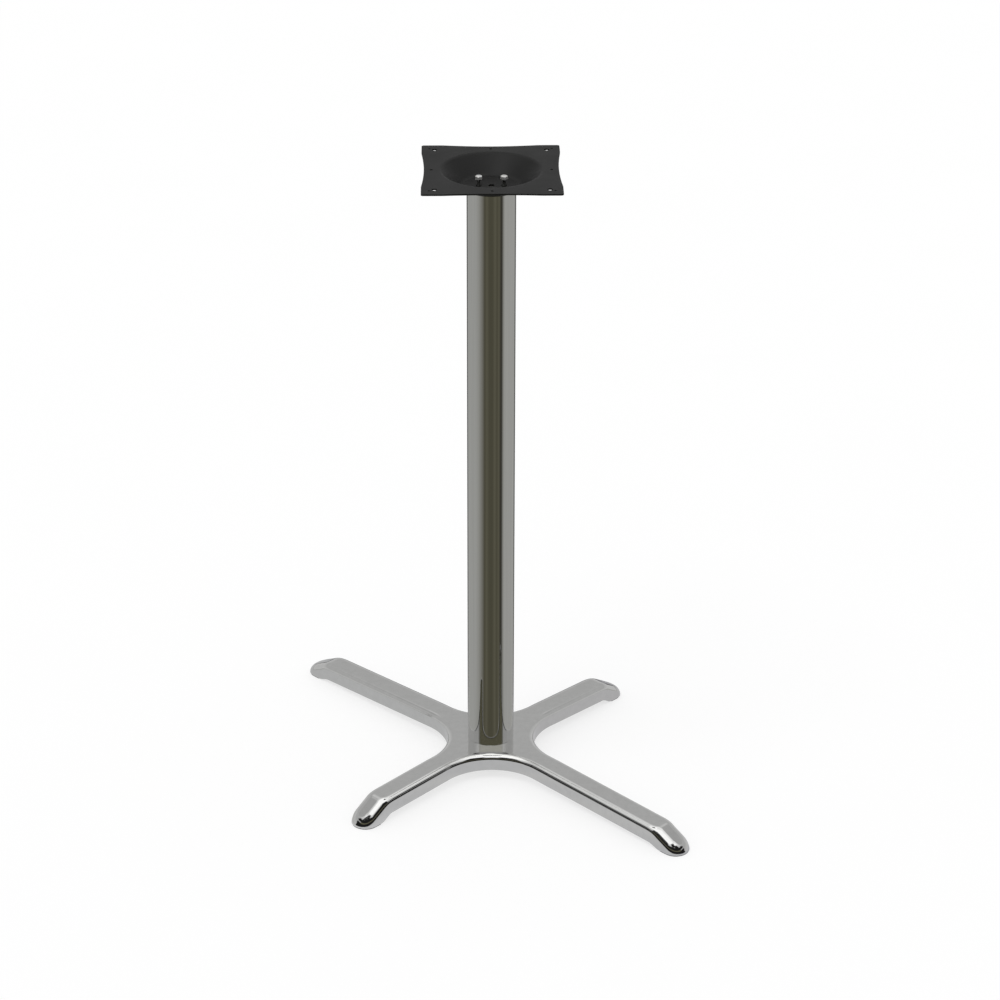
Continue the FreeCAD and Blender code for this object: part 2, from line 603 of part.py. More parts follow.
def top_plate():
    body = new_body("top_plate")
    dish = body.newObject("PartDesign::Revolution", "dish")
    dish.Profile = dish_sketch(body)
    dish.ReferenceAxis = (dish.Profile[0], ["V_Axis"])
    dish.Angle = 360
    flange = pad(body, "flange", flange_sketch(body), "Sizes.plate_gauge")
    flange.Reversed = True
    rounded(body, "plate_corners", at_corner, "Sizes.plate_corner_round")
    rounded(body, "plate_bow_ends", at_bow_end, "Sizes.plate_bow_round")
    holes = new_sketch(body, "screw_holes", "XY_Plane", "Sizes.overall_height")
    corner = "Sizes.corner_hole_spacing / 2"
    for number, (x, y) in enumerate([(1, 1), (-1, 1), (-1, -1), (1, -1)]):
        name = "corner_%d" % number
        radius = "Sizes.corner_hole / 2"
        circle(holes, name, radius, x="%d * %s" % (x, corner), y="%d * %s" % (y, corner))
        pilot_x = "%d * (%s + Sizes.pilot_step_x)" % (x, corner)
        pilot_y = "%d * (%s + Sizes.pilot_step_y)" % (y, corner)
        circle(holes, "pilot_%d" % number, "Sizes.pilot_hole / 2", x=pilot_x, y=pilot_y)
        side = "%d * Sizes.side_hole_spacing / 2" % (1 if number < 2 else -1)
        if number % 2:
            circle(holes, "side_%d" % number, "Sizes.side_hole / 2", x=side)
        else:
            circle(holes, "side_%d" % number, "Sizes.side_hole / 2", y=side)
    pocket(body, "screw_hole_cut", holes, "Sizes.plate_gauge")
    holes = new_sketch(body, "dish_holes", "XY_Plane", DISH_FLOOR)
    circle(holes, "middle", "Sizes.plug_bore / 2")
    bolt_pair(holes, "Sizes.plate_bolt / 2 + Sizes.plate_bolt_gap")
    pocket(body, "dish_hole_cut", holes, "Sizes.plate_gauge")
    return body


# Bolts and washers: two of each at either end of the column.

def place(piece, x, z, turned):
    """Puts a piece at one of the column's two bolts."""
    piece.setExpression("Placement.Base.z", z)
    if turned:
        piece.setExpression("Placement.Base.x", "%s * cos(Sizes.arm_turn * 1 deg)" % x)
        piece.setExpression("Placement.Base.y", "-1 * %s * sin(Sizes.arm_turn * 1 deg)" % x)
    else:
        piece.setExpression("Placement.Base.x", x)
    return piece


def cylinder(name, radius, height):
    piece = doc.addObject("Part::Cylinder", name)
    piece.setExpression("Radius", radius)
    piece.setExpression("Height", height)
    return piece


def hex_bolt(name, kind):
    """A hexagon head, chamfered at its free face, on a plain shank. The head's seat is at z = 0."""
    head = doc.addObject("Part::Prism", name + "_hexagon")
    head.Polygon = 6
    head.setExpression("Circumradius", "Sizes.%s_flats / sqrt(3)" % kind)
    head.setExpression("Height", "Sizes.%s_head" % kind)
    cone = doc.addObject("Part::Cone", name + "_cone")
    free_radius = "Sizes.%s_flats / 2" % kind
    cone.setExpression("Radius2", free_radius)
    spread = "Sizes.%s_head / tan(Sizes.bolt_chamfer * 1 deg)" % kind
    cone.setExpression("Radius1", "%s + %s" % (free_radius, spread))
    cone.setExpression("Height", "Sizes.%s_head" % kind)
    chamfered = doc.addObject("Part::Common", name + "_head")
    chamfered.Base = head
    chamfered.Tool = cone
    shank = cylinder(name + "_shank", "Sizes.%s / 2" % kind, "Sizes.%s_length" % kind)
    shank.setExpression("Placement.Base.z", "-Sizes.%s_length" % kind)
    bolt = doc.addObject("Part::Fuse", name)
    bolt.Base = chamfered
    bolt.Tool = shank
    return bolt


def ring(name, outside, thickness):
    """A washer round the base's bolt, its lower face at z = 0."""
    washer = doc.addObject("Part::Cut", name)
    washer.Base = cylinder(name + "_disc", outside, thickness)
    washer.Tool = cylinder(name + "_hole", "Sizes.base_bolt / 2 + Sizes.washer_gap", thickness)
    return washer


def split_ring(name):
    """A washer with a slit on one side."""
    outside = "Sizes.lock_washer_diameter / 2"
    whole = ring(name + "_ring", outside, "Sizes.lock_washer_thickness")
    slit = doc.addObject("Part::Box", name + "_slit")
    slit.setExpression("Length", outside)
    slit.setExpression("Width", "Sizes.lock_washer_slit")
    slit.setExpression("Height", "Sizes.lock_washer_thickness")
    slit.setExpression("Placement.Base.y", "-Sizes.lock_washer_slit / 2")
    washer = doc.addObject("Part::Cut", name)
    washer.Base = whole
    washer.Tool = slit
    return washer


def pair(label, make, height, turned=False, upside_down=False):
    """Two like fasteners, one at each bolt, as one group of separate solids."""
    pieces = []
    for name, side in (("one", "1"), ("two", "-1")):
        piece = make("%s_%s" % (label, name))
        if upside_down:
            piece.Placement = FreeCAD.Placement(Vector(), FreeCAD.Rotation(Vector(1, 0, 0), 180))
        place(piece, "(%s * Sizes.bolt_spacing / 2)" % side, height, turned)
        pieces.append(piece)
    group = doc.addObject("Part::Compound", label)
    group.Label = label
    group.Links = pieces
    return group


# The glides: a moulded foot under each toe, with a hollow block that grips inside it.

def glide(label, reach, turn):
    """One glide. Its sketches have the middle of the toe's round end at the origin, the tip on +X."""
    body = new_body(label)
    half = size("arm_width") / 2
    back = half - size("toe_floor") + size("glide_inset")
    back_x = "(Sizes.arm_width / 2 - Sizes.toe_floor + Sizes.glide_inset)"
    foot = new_sketch(body, label + "_foot", "XY_Plane")
    radius = half - size("glide_inset")
    corners = [Vector(back, -radius, 0), Vector(0, -radius, 0),
               Vector(0, radius, 0), Vector(back, radius, 0)]
    nose = Part.Circle(Vector(), Vector(0, 0, 1), radius)
    foot.addGeometry(Part.LineSegment(corners[0], corners[1]))
    foot.addGeometry(Part.ArcOfCircle(nose, -math.pi / 2, math.pi / 2))
    foot.addGeometry(Part.LineSegment(corners[2], corners[3]))
    foot.addGeometry(Part.LineSegment(corners[3], corners[0]))
    rules = [("Tangent", 0, 2, 1, 1), ("Tangent", 1, 2, 2, 1), ("Coincident", 2, 2, 3, 1),
             ("Coincident", 3, 2, 0, 1), ("Vertical", 3), ("Coincident", 1, 3, -1, 1),
             ("Horizontal", 0), ("Horizontal", 2)]
    for rule in rules:
        foot.addConstraint(Sketcher.Constraint(*rule))
    foot_radius = "Sizes.arm_width / 2 - Sizes.glide_inset"
    bind(foot, "radius", foot_radius, "Radius", 1, radius)
    bind(foot, "back", back_x, "DistanceX", -1, 1, 3, 1, back)
    pad(body, label + "_foot_pad", foot, "Sizes.glide_foot")
    wall = "(Sizes.arm_width / 2 - Sizes.base_gauge)"
    rough_wall = half - size("base_gauge")
    block_half = "(%s - Sizes.glide_side_gap)" % wall
    block = new_sketch(body, label + "_block", "XY_Plane", "Sizes.glide_foot")
    rectangle(block, (back, back_x), (size("glide_front"), "Sizes.glide_front"),
              rough_wall, block_half)
    rise = "Sizes.glide_height - Sizes.glide_foot"
    pad(body, label + "_block_pad", block, rise)
    for rib_place in ("glide_back_rib", "glide_front_rib"):
        name = "%s_%s" % (label, rib_place)
        rib = new_sketch(body, name, "XY_Plane", "Sizes.glide_foot")
        start = "%s + Sizes.%s" % (back_x, rib_place)
        rough = back + size(rib_place)
        end = "%s + Sizes.glide_rib" % start
        rectangle(rib, (rough, start), (rough + size("glide_rib"), end), rough_wall, wall)
        pad(body, name + "_pad", rib, rise)
    well = new_sketch(body, label + "_well", "XY_Plane", "Sizes.glide_height")
    rectangle(well, (back + 1, back_x + " + Sizes.glide_wall"),
              (size("glide_front") - 1, "Sizes.glide_front - Sizes.glide_wall"),
              rough_wall - 1, block_half + " - Sizes.glide_wall")
    pocket(body, label + "_well_cut", well, rise + " - Sizes.glide_floor")
    angle = "%d - Sizes.arm_turn" % turn
    out = "(Sizes.%s - Sizes.arm_width / 2)" % reach
    body.Placement = FreeCAD.Placement(Vector(), FreeCAD.Rotation(Vector(0, 0, 1), 1))
    body.setExpression("Placement.Rotation.Angle", "(%s) * 1 deg" % angle)
    body.setExpression("Placement.Base.x", "%s * cos((%s) * 1 deg)" % (out, angle))
    body.setExpression("Placement.Base.y", "%s * sin((%s) * 1 deg)" % (out, angle))
    return body


def rectangle(sketch, start, end, rough_half, half):
    """A rectangle from start to end along X, as wide as twice half."""
    outline(sketch, [
        ((start[0], -rough_half), start[1], "-1 * (%s)" % half),
        ((end[0], -rough_half), end[1], "-1 * (%s)" % half),
        ((end[0], rough_half), end[1], half),
        ((start[0], rough_half), start[1], half),
    ])


def plate_bolt(name):
    return hex_bolt(name, "plate_bolt")


def base_bolt(name):
    return hex_bolt(name, "base_bolt")


def flat_washer(name):
    return ring(name, "Sizes.washer_diameter / 2", "Sizes.washer_thickness")


pieces = [
    base_shell(),
    hub_plate(),
    column_tube(),
    turn_with_arms(column_plug("bottom_plug", "Sizes.hub_height", "base_bolt")),
    column_plug("top_plug", "%s - Sizes.plug_thickness" % COLUMN_TOP, "plate_bolt"),
    top_plate(),
    pair("plate_bolts", plate_bolt, "%s + Sizes.plate_bolt_stand" % DISH_FLOOR),
    pair("base_bolts", base_bolt, HEAD_SEAT, turned=True, upside_down=True),
    pair("flat_washers", flat_washer, LOCK_WASHER_SEAT, turned=True),
    pair("lock_washers", split_ring, HEAD_SEAT, turned=True),
]
toes = [("front_right", "long_reach", 0), ("back_right", "short_reach", 90),
        ("back_left", "long_reach", 180), ("front_left", "short_reach", 270)]
for corner, reach, turn in toes:
    pieces.append(glide("glide_" + corner, reach, turn))

doc.recompute()

failed = [item.Name for item in doc.Objects if {"Invalid", "Error"} & set(item.State)]
if failed:
    raise RuntimeError("not built: " + ", ".join(failed))

os.makedirs("parts", exist_ok=True)
for piece in pieces:
    shape = piece.Shape
    if shape.isNull() or not shape.isValid() or not shape.Solids:
        raise RuntimeError("no sound shape: " + piece.Label)
for piece in pieces:
    piece.Shape.exportStep("parts/%s.step" % piece.Label)
    box = piece.Shape.BoundBox
    print("%-18s %2d solid(s) %10.0f mm3  z %7.1f to %7.1f" % (
        piece.Label, len(piece.Shape.Solids), piece.Shape.Volume, box.ZMin, box.ZMax))
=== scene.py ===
# %% [markdown]
# # A chromed table base with a black plate
#
# This lesson dresses a table base that already exists as solids: a cross of stamped sheet
# steel, a tube column and a stamped plate that screws under a table top. The solids come in
# as a fixed frame, in metres, with the floor at z = 0 and the column's axis at x = y = 0.
# Our job is to give each piece the smooth skin and the finish of the real one, and then to
# light it as a photographer would.

# %% Load the frame
import math

import bmesh
import bpy
from mathutils import Matrix, Vector


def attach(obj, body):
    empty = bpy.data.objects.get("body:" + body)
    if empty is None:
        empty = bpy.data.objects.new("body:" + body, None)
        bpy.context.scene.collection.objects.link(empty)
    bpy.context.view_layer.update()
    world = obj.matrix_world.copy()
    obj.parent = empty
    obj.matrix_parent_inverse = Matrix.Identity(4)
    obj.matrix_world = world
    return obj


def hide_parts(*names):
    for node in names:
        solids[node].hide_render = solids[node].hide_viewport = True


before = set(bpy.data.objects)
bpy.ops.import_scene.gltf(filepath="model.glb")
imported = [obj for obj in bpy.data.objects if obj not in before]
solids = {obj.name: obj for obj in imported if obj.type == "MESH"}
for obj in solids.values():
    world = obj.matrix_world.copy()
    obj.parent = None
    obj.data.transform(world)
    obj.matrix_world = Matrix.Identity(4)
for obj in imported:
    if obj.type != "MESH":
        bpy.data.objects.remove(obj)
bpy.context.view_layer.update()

# %% [markdown]
# ## Helpers for meshes
#
# Every new skin is a list of points and a list of faces. One helper turns them into an
# object, welds the points that lie on each other, and shades it smooth except along edges
# that turn by more than a set angle. Welding lets us build a form in simple strips and
# still end up with one closed surface.

# %% Make a piece from points and faces
MM = 0.001
WELD = 0.004 * MM
SHARP = math.radians(38)


def finish_mesh(bm, name, sharp=SHARP):
    """Welds a bmesh, marks its sharp edges and makes it a smooth piece on the body."""
    bmesh.ops.remove_doubles(bm, verts=bm.verts, dist=WELD)
    bmesh.ops.dissolve_degenerate(bm, edges=bm.edges, dist=WELD)
    bmesh.ops.recalc_face_normals(bm, faces=bm.faces)
    for face in bm.faces:
        face.smooth = True
    for edge in bm.edges:
        edge.smooth = len(edge.link_faces) == 2 and edge.calc_face_angle(0) < sharp
    mesh = bpy.data.meshes.new(name)
    bm.to_mesh(mesh)
    bm.free()
    piece = bpy.data.objects.new(name, mesh)
    bpy.context.scene.collection.objects.link(piece)
    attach(piece, "root")
    print("%-16s %6d faces" % (name, len(mesh.polygons)))
    return piece


def skin(name, points, faces, sharp=SHARP):
    """A piece from a list of points and a list of faces that count them."""
    bm = bmesh.new()
    corners = [bm.verts.new(point) for point in points]
    for face in faces:
        bm.faces.new([corners[index] for index in face])
    return finish_mesh(bm, name, sharp)


def strip_faces(rows, columns, start=0, closed=False):
    """Quads between rows of points that follow each other in one list."""
    across = columns if closed else columns - 1
    faces = []
    for row in range(rows - 1):
        for column in range(across):
            following = (column + 1) % columns
            first = start + row * columns
            second = first + columns
            faces.append((first + column, first + following,
                          second + following, second + column))
    return faces


# %% [markdown]
# ## The stamped cross
#
# The base is pressed from one sheet: an upside-down channel in the form of a cross, with a
# soft crown along its top edges and toes that bend down to the floor. Chrome shows every
# ripple, so we don't shade the solid's own triangles. We lay a fine, even net over the same
# form instead, outside and inside. The sizes are the ones that the solid was built to.

# %% The sizes of the cross, in millimetres
HALF_WIDTH = 23.0             # half the width of an arm
VALLEY = 95.0                 # radius of the corner between two arms
LEVEL = HALF_WIDTH + VALLEY   # how far out an arm stays level
HUB_TOP = 43.0
CHANNEL = 26.5                # depth of the channel
GAUGE = 2.0                   # thickness of the sheet
FALL = math.radians(2)        # how steeply an arm falls
CREST = 400.0                 # radius of the bend where it starts to fall
TOE_RUN = 55.0                # the toe's slope starts this far from the tip
TOE_BEND = 30.0               # radius of the bend above that slope
TOE_TIP = 10.0                # height of the slope at the tip
TOE_FLOOR = 36.0              # length of the toe's rim that is near the floor
TOE_RAMP = 24.0               # length over which the rim comes down to it
RIM = 1.5                     # height of the rim above the floor at the toe
LONG_ARM = 432.95             # a touch short of the solid's, to stay inside its box
SHORT_ARM = 312.0
ARM_TURN = -45.0
print("arms reach %.2f and %.2f mm from the axis" % (LONG_ARM, SHORT_ARM))

# %% [markdown]
# ## The line of an arm
#
# Seen from the side, an arm is level beside its valleys, rolls over a wide crest, falls by
# two degrees and then bends down to the toe. Deeper in the sheet it is the same line with
# each bend tighter by the depth. That is what keeps the gauge even, so one function gives
# the height for any place along the arm and any depth.

# %% Heights along an arm


def toe_bend(reach):
    """Where the toe's slope starts: the centre of a round bend, and how steep the slope is."""
    start = reach - TOE_RUN
    level_end = LEVEL + CREST * math.sin(FALL)
    start_z = HUB_TOP - CREST * (1 - math.cos(FALL)) - (start - level_end) * math.tan(FALL)
    centre = Vector((start - TOE_BEND * math.sin(FALL), start_z - TOE_BEND * math.cos(FALL)))
    to_tip = Vector((reach, TOE_TIP)) - centre
    lean = math.atan2(to_tip.y, to_tip.x) + math.acos(TOE_BEND / to_tip.length)
    return centre, math.pi / 2 - lean


def height(x, depth, bend):
    """Height of the surface that lies a depth under the top of an arm, at x along it."""
    centre, steep = bend
    crest, round_off = CREST - depth, TOE_BEND - depth
    if x <= LEVEL:
        return HUB_TOP - depth
    if x <= LEVEL + crest * math.sin(FALL):
        return HUB_TOP - CREST + math.sqrt(crest ** 2 - (x - LEVEL) ** 2)
    bend_start = centre.x + round_off * math.sin(FALL)
    bend_end = centre.x + round_off * math.sin(steep)
    if x <= bend_start:
        return centre.y + round_off * math.cos(FALL) + (bend_start - x) * math.tan(FALL)
    if x <= bend_end:
        return centre.y + math.sqrt(round_off ** 2 - (x - centre.x) ** 2)
    return centre.y + round_off * math.cos(steep) - (x - bend_end) * math.tan(steep)


def ease(share):
    """Goes from 0 to 1 with a soft start and a soft end."""
    share = min(max(share, 0.0), 1.0)
    return share * share * (3 - 2 * share)


def lower_edge(x, reach):
    """Height of the channel's lower edge: level, then along the arm, then down to the toe."""
    edge = HUB_TOP - CHANNEL - max(x - LEVEL, 0.0) * math.tan(FALL)
    toe_start = reach - TOE_FLOOR - TOE_RAMP
    return edge + (RIM - edge) * ease((x - toe_start) / TOE_RAMP)


print("the toes slope by %.1f degrees" % math.degrees(toe_bend(LONG_ARM)[1]))

# %% [markdown]
# ## Walking round the edge of an arm
#
# Half an arm is enough: from the middle of the valley between two arms, along the straight
# side, round the toe to its tip. Each station keeps its place and the direction straight
# out of the wall. The other half is its mirror image, and turning the arm by quarter turns
# gives the cross. The stride shortens before the toe, because the line bends there.

# %% Stations along the edge
VALLEY_STEPS = 18
NOSE_STEPS = 26
STRIDE = 6.0
SHORT_STRIDE = 1.2
SHORT_BEFORE_TOE = 30.0
LAST_GAP = 0.5


def stations(reach):
    """Places along the edge of half an arm, each with its outward direction."""
    found = []
    for step in range(VALLEY_STEPS):
        angle = math.pi / 4 * (1 + step / VALLEY_STEPS)
        toward = Vector((math.cos(angle), math.sin(angle)))
        found.append((Vector((LEVEL, LEVEL)) - toward * VALLEY, toward))
    nose = reach - HALF_WIDTH
    near_toe = reach - TOE_FLOOR - TOE_RAMP - SHORT_BEFORE_TOE
    x = LEVEL
    while x < nose - LAST_GAP:
        found.append((Vector((x, HALF_WIDTH)), Vector((0, 1))))
        x += STRIDE if x < near_toe else SHORT_STRIDE
    for step in range(NOSE_STEPS + 1):
        angle = math.pi / 2 * (1 - step / NOSE_STEPS)
        toward = Vector((math.cos(angle), math.sin(angle)))
        found.append((Vector((nose, 0)) + toward * HALF_WIDTH, toward))
    return found


print("stations on half a long arm:", len(stations(LONG_ARM)))

# %% [markdown]
# ## The crown
#
# A press leaves no single even radius along an edge. The sheet turns tightly just above the
# wall, at the brow, and flows more widely into the top, over the shoulder. In chrome the
# shoulder carries the bright line and the brow the dark one below it, so the two radii set
# how wide these lines are. Two arcs that meet at 45 degrees follow that better than a
# quarter circle. Both grow at the toe, where the edge is softer.

# %% Two arcs over the edge
SHOULDER = 13.0
BROW = 7.5
TOE_SHOULDER = 17.0
TOE_BROW = 11.0
GROWS_FROM = 64.0             # measured back from the tip
GROWS_OVER = 22.0
SHRINKS_OVER = 12.0           # at the very tip both are small again
DIAGONAL = math.cos(math.pi / 4)


def crown_width(brow, shoulder):
    """How far in from the wall the crown reaches."""
    return brow * (1 - DIAGONAL) + shoulder * DIAGONAL


def crown_arcs(x, reach):
    """The radii of the brow and the shoulder at x along an arm."""
    grown = ease((x - (reach - GROWS_FROM)) / GROWS_OVER) * ease((reach - x) / SHRINKS_OVER)
    return BROW + (TOE_BROW - BROW) * grown, SHOULDER + (TOE_SHOULDER - SHOULDER) * grown


def crown_point(place, toward, turn, inset, bend, arcs):
    """A point of the crown. Turn runs from 0 at the wall to 1 at the top."""
    angle = turn * math.pi / 2
    brow, shoulder = arcs[0] - inset, arcs[1] - inset
    if turn <= 0.5:
        inward = inset + brow * (1 - math.cos(angle))
        depth = inset + shoulder * (1 - DIAGONAL) + brow * (DIAGONAL - math.sin(angle))
    else:
        inward = crown_width(*arcs) - shoulder * math.cos(angle)
        depth = inset + shoulder * (1 - math.sin(angle))
    spot = place - toward * inward
    return Vector((spot.x, spot.y, height(spot.x, depth, bend)))


print("the crown is %.1f mm wide on the arms" % crown_width(BROW, SHOULDER))

# %% [markdown]
# ## Up the wall and over the crown
#
# Each station gets a column of points, from the rim up the wall and over the crown. Near
# the tip of the toe the slope comes down so far that the rim cuts into the crown, and no
# wall is left. There we halve the turn again and again until it lands on the rim.

# %% A column of points at each station
WALL_STEPS = 3
CROWN_STEPS = 14
HALVINGS = 30


def column_of_points(place, toward, reach, inset, bend):
    """Points from the lower edge of the wall up over the crown to the top face."""
    foot = lower_edge(place.x, reach)
    arcs = crown_arcs(place.x, reach)
    wall_top = crown_point(place, toward, 0.0, inset, bend, arcs)
    points = []
    low_turn = 0.0
    if wall_top.z > foot:
        for step in range(WALL_STEPS):
            rise = step / WALL_STEPS
            points.append(Vector((wall_top.x, wall_top.y, foot + (wall_top.z - foot) * rise)))
    else:
        high_turn = 1.0
        for halving in range(HALVINGS):
            middle = (low_turn + high_turn) / 2
            if crown_point(place, toward, middle, inset, bend, arcs).z > foot:
                high_turn = middle
            else:
                low_turn = middle
        low_turn = high_turn
        points += [crown_point(place, toward, low_turn, inset, bend, arcs)] * WALL_STEPS
    for step in range(CROWN_STEPS + 1):
        turn = low_turn + (1 - low_turn) * step / CROWN_STEPS
        points.append(crown_point(place, toward, turn, inset, bend, arcs))
    return points


print("points in a column:", WALL_STEPS + CROWN_STEPS + 1)

# %% [markdown]
# ## Laying the net
#
# The columns make the sides of an arm, rows across it close the top, and a narrow strip
# along the rim joins the outer skin to the inner one, which lies one gauge further in. A
# square fills the middle of the hub. The helper that adds a grid also turns it to where
# its arm points.

# %% Build the cross
ACROSS = 12


def other_side(point):
    """The point's mirror image on the other half of the arm."""
    return Vector((point.x, -point.y, point.z))


def arm_grids(reach):
    """The grids of one arm: both sides and the top, outside and inside, and then the rim."""
    bend = toe_bend(reach)
    rims = []
    for inset in (0.0, GAUGE):
        side = [column_of_points(place, toward, reach, inset, bend)
                for place, toward in stations(reach)]
        yield side
        yield [[other_side(point) for point in column] for column in side]
        edge = [column[-1] for column in side]
        yield [[Vector((point.x, point.y * (2 * step / ACROSS - 1), point.z))
                for step in range(ACROSS + 1)] for point in edge]
        rims.append([column[0] for column in side])
    rim = list(zip(*rims))
    yield rim
    yield [[other_side(point) for point in pair] for pair in rim]


def hub_grid(inset):
    """The square in the middle of the hub, between the crowns of the four valleys."""
    half = LEVEL - (VALLEY + crown_width(BROW, SHOULDER)) * DIAGONAL
    places = [half * (2 * step / ACROSS - 1) for step in range(ACROSS + 1)]
    return [[Vector((x, y, HUB_TOP - inset)) for x in places] for y in places]


def cross_skin():
    """All four arms and the hub, as one welded skin."""
    points, faces = [], []

    def add(grid, degrees):
        turned = Matrix.Rotation(math.radians(degrees), 3, "Z")
        start = len(points)
        for row in grid:
            points.extend(turned @ point * MM for point in row)
        faces.extend(strip_faces(len(grid), len(grid[0]), start))

    for quarter in range(4):
        for grid in arm_grids(SHORT_ARM if quarter % 2 else LONG_ARM):
            add(grid, ARM_TURN + 90 * quarter)
    for inset in (0.0, GAUGE):
        add(hub_grid(inset), ARM_TURN)
    return skin("stamped_cross", points, faces)


cross = cross_skin()
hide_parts("base_shell")

# %% [markdown]
# ## The column
#
# The column is a plain welded tube, so a turned profile is all it takes: the inner and the
# outer wall and a small broken edge at either end. Many segments keep its outline round and
# its reflections straight.

# %% Turn the tube
TUBE_SEGMENTS = 160
TUBE_RADIUS = 38.1
TUBE_WALL = 1.5
TUBE_FOOT = 43.0
TUBE_HEAD = 1013.5
BROKEN_EDGE = 0.3


def turned_skin(name, profile, segments):
    """Spins a closed profile of (radius, height) pairs, in millimetres, round the z axis."""
    points = []
    for radius, z in profile:
        for step in range(segments):
            angle = 2 * math.pi * step / segments
            points.append(Vector((radius * math.cos(angle), radius * math.sin(angle), z)) * MM)
    faces = strip_faces(len(profile), segments, closed=True)
    last = (len(profile) - 1) * segments
    for step in range(segments):
        following = (step + 1) % segments
        faces.append((last + step, last + following, following, step))
    return skin(name, points, faces)


inside = TUBE_RADIUS - TUBE_WALL
tube_profile = [
    (inside, TUBE_FOOT), (TUBE_RADIUS - BROKEN_EDGE, TUBE_FOOT),
    (TUBE_RADIUS, TUBE_FOOT + BROKEN_EDGE), (TUBE_RADIUS, TUBE_HEAD - BROKEN_EDGE),
    (TUBE_RADIUS - BROKEN_EDGE, TUBE_HEAD), (inside, TUBE_HEAD),
]
tube = turned_skin("tube_column", tube_profile, TUBE_SEGMENTS)
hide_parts("column_tube")

# %% [markdown]
# ## The plate
#
# The plate is stamped too. Drawing the dish pulls the middle of each side in and a little
# down, while the corners stay up. The solid has the pulled-in sides. Here its surface is
# cut along a grid so that it can bend, and the sides are pushed down by a smooth amount.
# Bending the solid's own surface keeps every hole where the screws need it.

# %% How far the sides sag
PLATE_TOP = 1042.0
FLANGE_DEPTH = 8.0            # the points this far below the top belong to the flange
MOUTH = 81.0                  # radius of the dish's mouth
PLATE_EDGE = 103.3
SAG = 0.6
SAG_SPAN = 84.0               # half the length of a side that sags
SAG_START = MOUTH * 0.72


def sag(x, y):
    """How far a point of the flange lies below the corners, in millimetres."""
    total = 0.0
    for out, along in ((abs(x), abs(y)), (abs(y), abs(x))):
        if out > along and along < SAG_SPAN:
            reach = ease((out - SAG_START) / (PLATE_EDGE - SAG_START))
            total += SAG * reach * (1 - (along / SAG_SPAN) ** 2) ** 2
    return total


print("the middle of a side sags by %.1f mm" % sag(PLATE_EDGE, 0))

# %% Cut the plate along a grid and bend it
GRID_STEP = 9.0
GRID_CUTS = 11                # on either side of the middle one
FLANGE_START = MOUTH * 0.8


def bent_plate():
    """The solid's own plate with its sides pushed down."""
    bm = bmesh.new()
    bm.from_mesh(solids["top_plate"].data)
    bmesh.ops.remove_doubles(bm, verts=bm.verts, dist=WELD)
    for axis in range(2):
        for step in range(-GRID_CUTS, GRID_CUTS + 1):
            place = Vector((0, 0, 0))
            place[axis] = step * GRID_STEP * MM
            across = Vector((0, 0, 0))
            across[axis] = 1
            flange = [face for face in bm.faces
                      if face.calc_center_median().to_2d().length > FLANGE_START * MM]
            edges = {edge for face in flange for edge in face.edges}
            verts = {vert for edge in edges for vert in edge.verts}
            geometry = list(verts) + list(edges) + flange
            bmesh.ops.bisect_plane(bm, geom=geometry, dist=WELD, plane_co=place, plane_no=across)
    for vert in bm.verts:
        if vert.co.z > (PLATE_TOP - FLANGE_DEPTH) * MM:
            vert.co.z -= sag(vert.co.x / MM, vert.co.y / MM) * MM
    return finish_mesh(bm, "dished_plate")


plate = bent_plate()
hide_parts("top_plate")
even_shading = plate.modifiers.new("even_shading", "WEIGHTED_NORMAL")
even_shading.keep_sharp = True

# %% [markdown]
# ## The bolts in the dish
#
# Two bolts stand half drawn in the dish, bright zinc against the black. Up close a bolt is
# its thread and its chamfered head, so both are modelled. The thread could be a profile
# wound along a helix. Here it is a stack of rings whose radius rises and falls while the
# angle and the height go up together, because rings close into one clean piece.

# %% The sizes of a bolt, in millimetres
BOLT_SPACING = 38.8
BOLT_TOP = 1031.5
BOLT_LENGTH = 30.0            # of the shank below the head
BOLT_RADIUS = 3.0
PITCH = 1.0
THREAD_DEPTH = 0.55
RUN_OUT = 1.2                 # the thread starts over this length at the tip
TIP_TAPER = 0.5
NECK = 0.6                    # plain length under the head
BOLT_HEAD = 5.5
HALF_FLATS = 5.0              # from the bolt's axis to a flat
SEAT = BOLT_TOP - BOLT_HEAD
BOLT_TURNS = ((1, 17), (-1, -8))
HEAD_RINGS = (                # height in the head, and how far out as a share of HALF_FLATS
    (0.0, 0.93), (0.25, 0.95), (0.3, 1.16), (BOLT_HEAD - 0.9, 1.16),
    (BOLT_HEAD - 0.35, 1.03), (BOLT_HEAD - 0.05, 0.93), (BOLT_HEAD, 0.89),
)
print("the bolts' heads sit at", SEAT, "mm")

# %% Cut a thread and a hexagon head
THREAD_SEGMENTS = 28
RINGS_PER_TURN = 4
HEAD_SEGMENTS = 48
BOLT_SHARP = math.radians(24)
FLAT_TURN = math.pi / 3       # from one flat of a hexagon to the next


def thread_rows():
    """Rings of a threaded shank from its tip to its seat under the head."""
    rows = []
    count = int(BOLT_LENGTH / PITCH * RINGS_PER_TURN)
    for ring in range(count + 1):
        z = -BOLT_LENGTH + BOLT_LENGTH * ring / count
        started = ease((z + BOLT_LENGTH) / RUN_OUT)
        row = []
        for step in range(THREAD_SEGMENTS):
            turn = step / THREAD_SEGMENTS
            phase = (z / PITCH - turn) % 1.0
            groove = abs(2 * phase - 1)
            radius = BOLT_RADIUS - THREAD_DEPTH * groove - TIP_TAPER * (1 - started)
            if z > -NECK:
                radius = BOLT_RADIUS - THREAD_DEPTH
            angle = 2 * math.pi * turn
            row.append(Vector((radius * math.cos(angle), radius * math.sin(angle), z)))
        rows.append(row)
    return rows


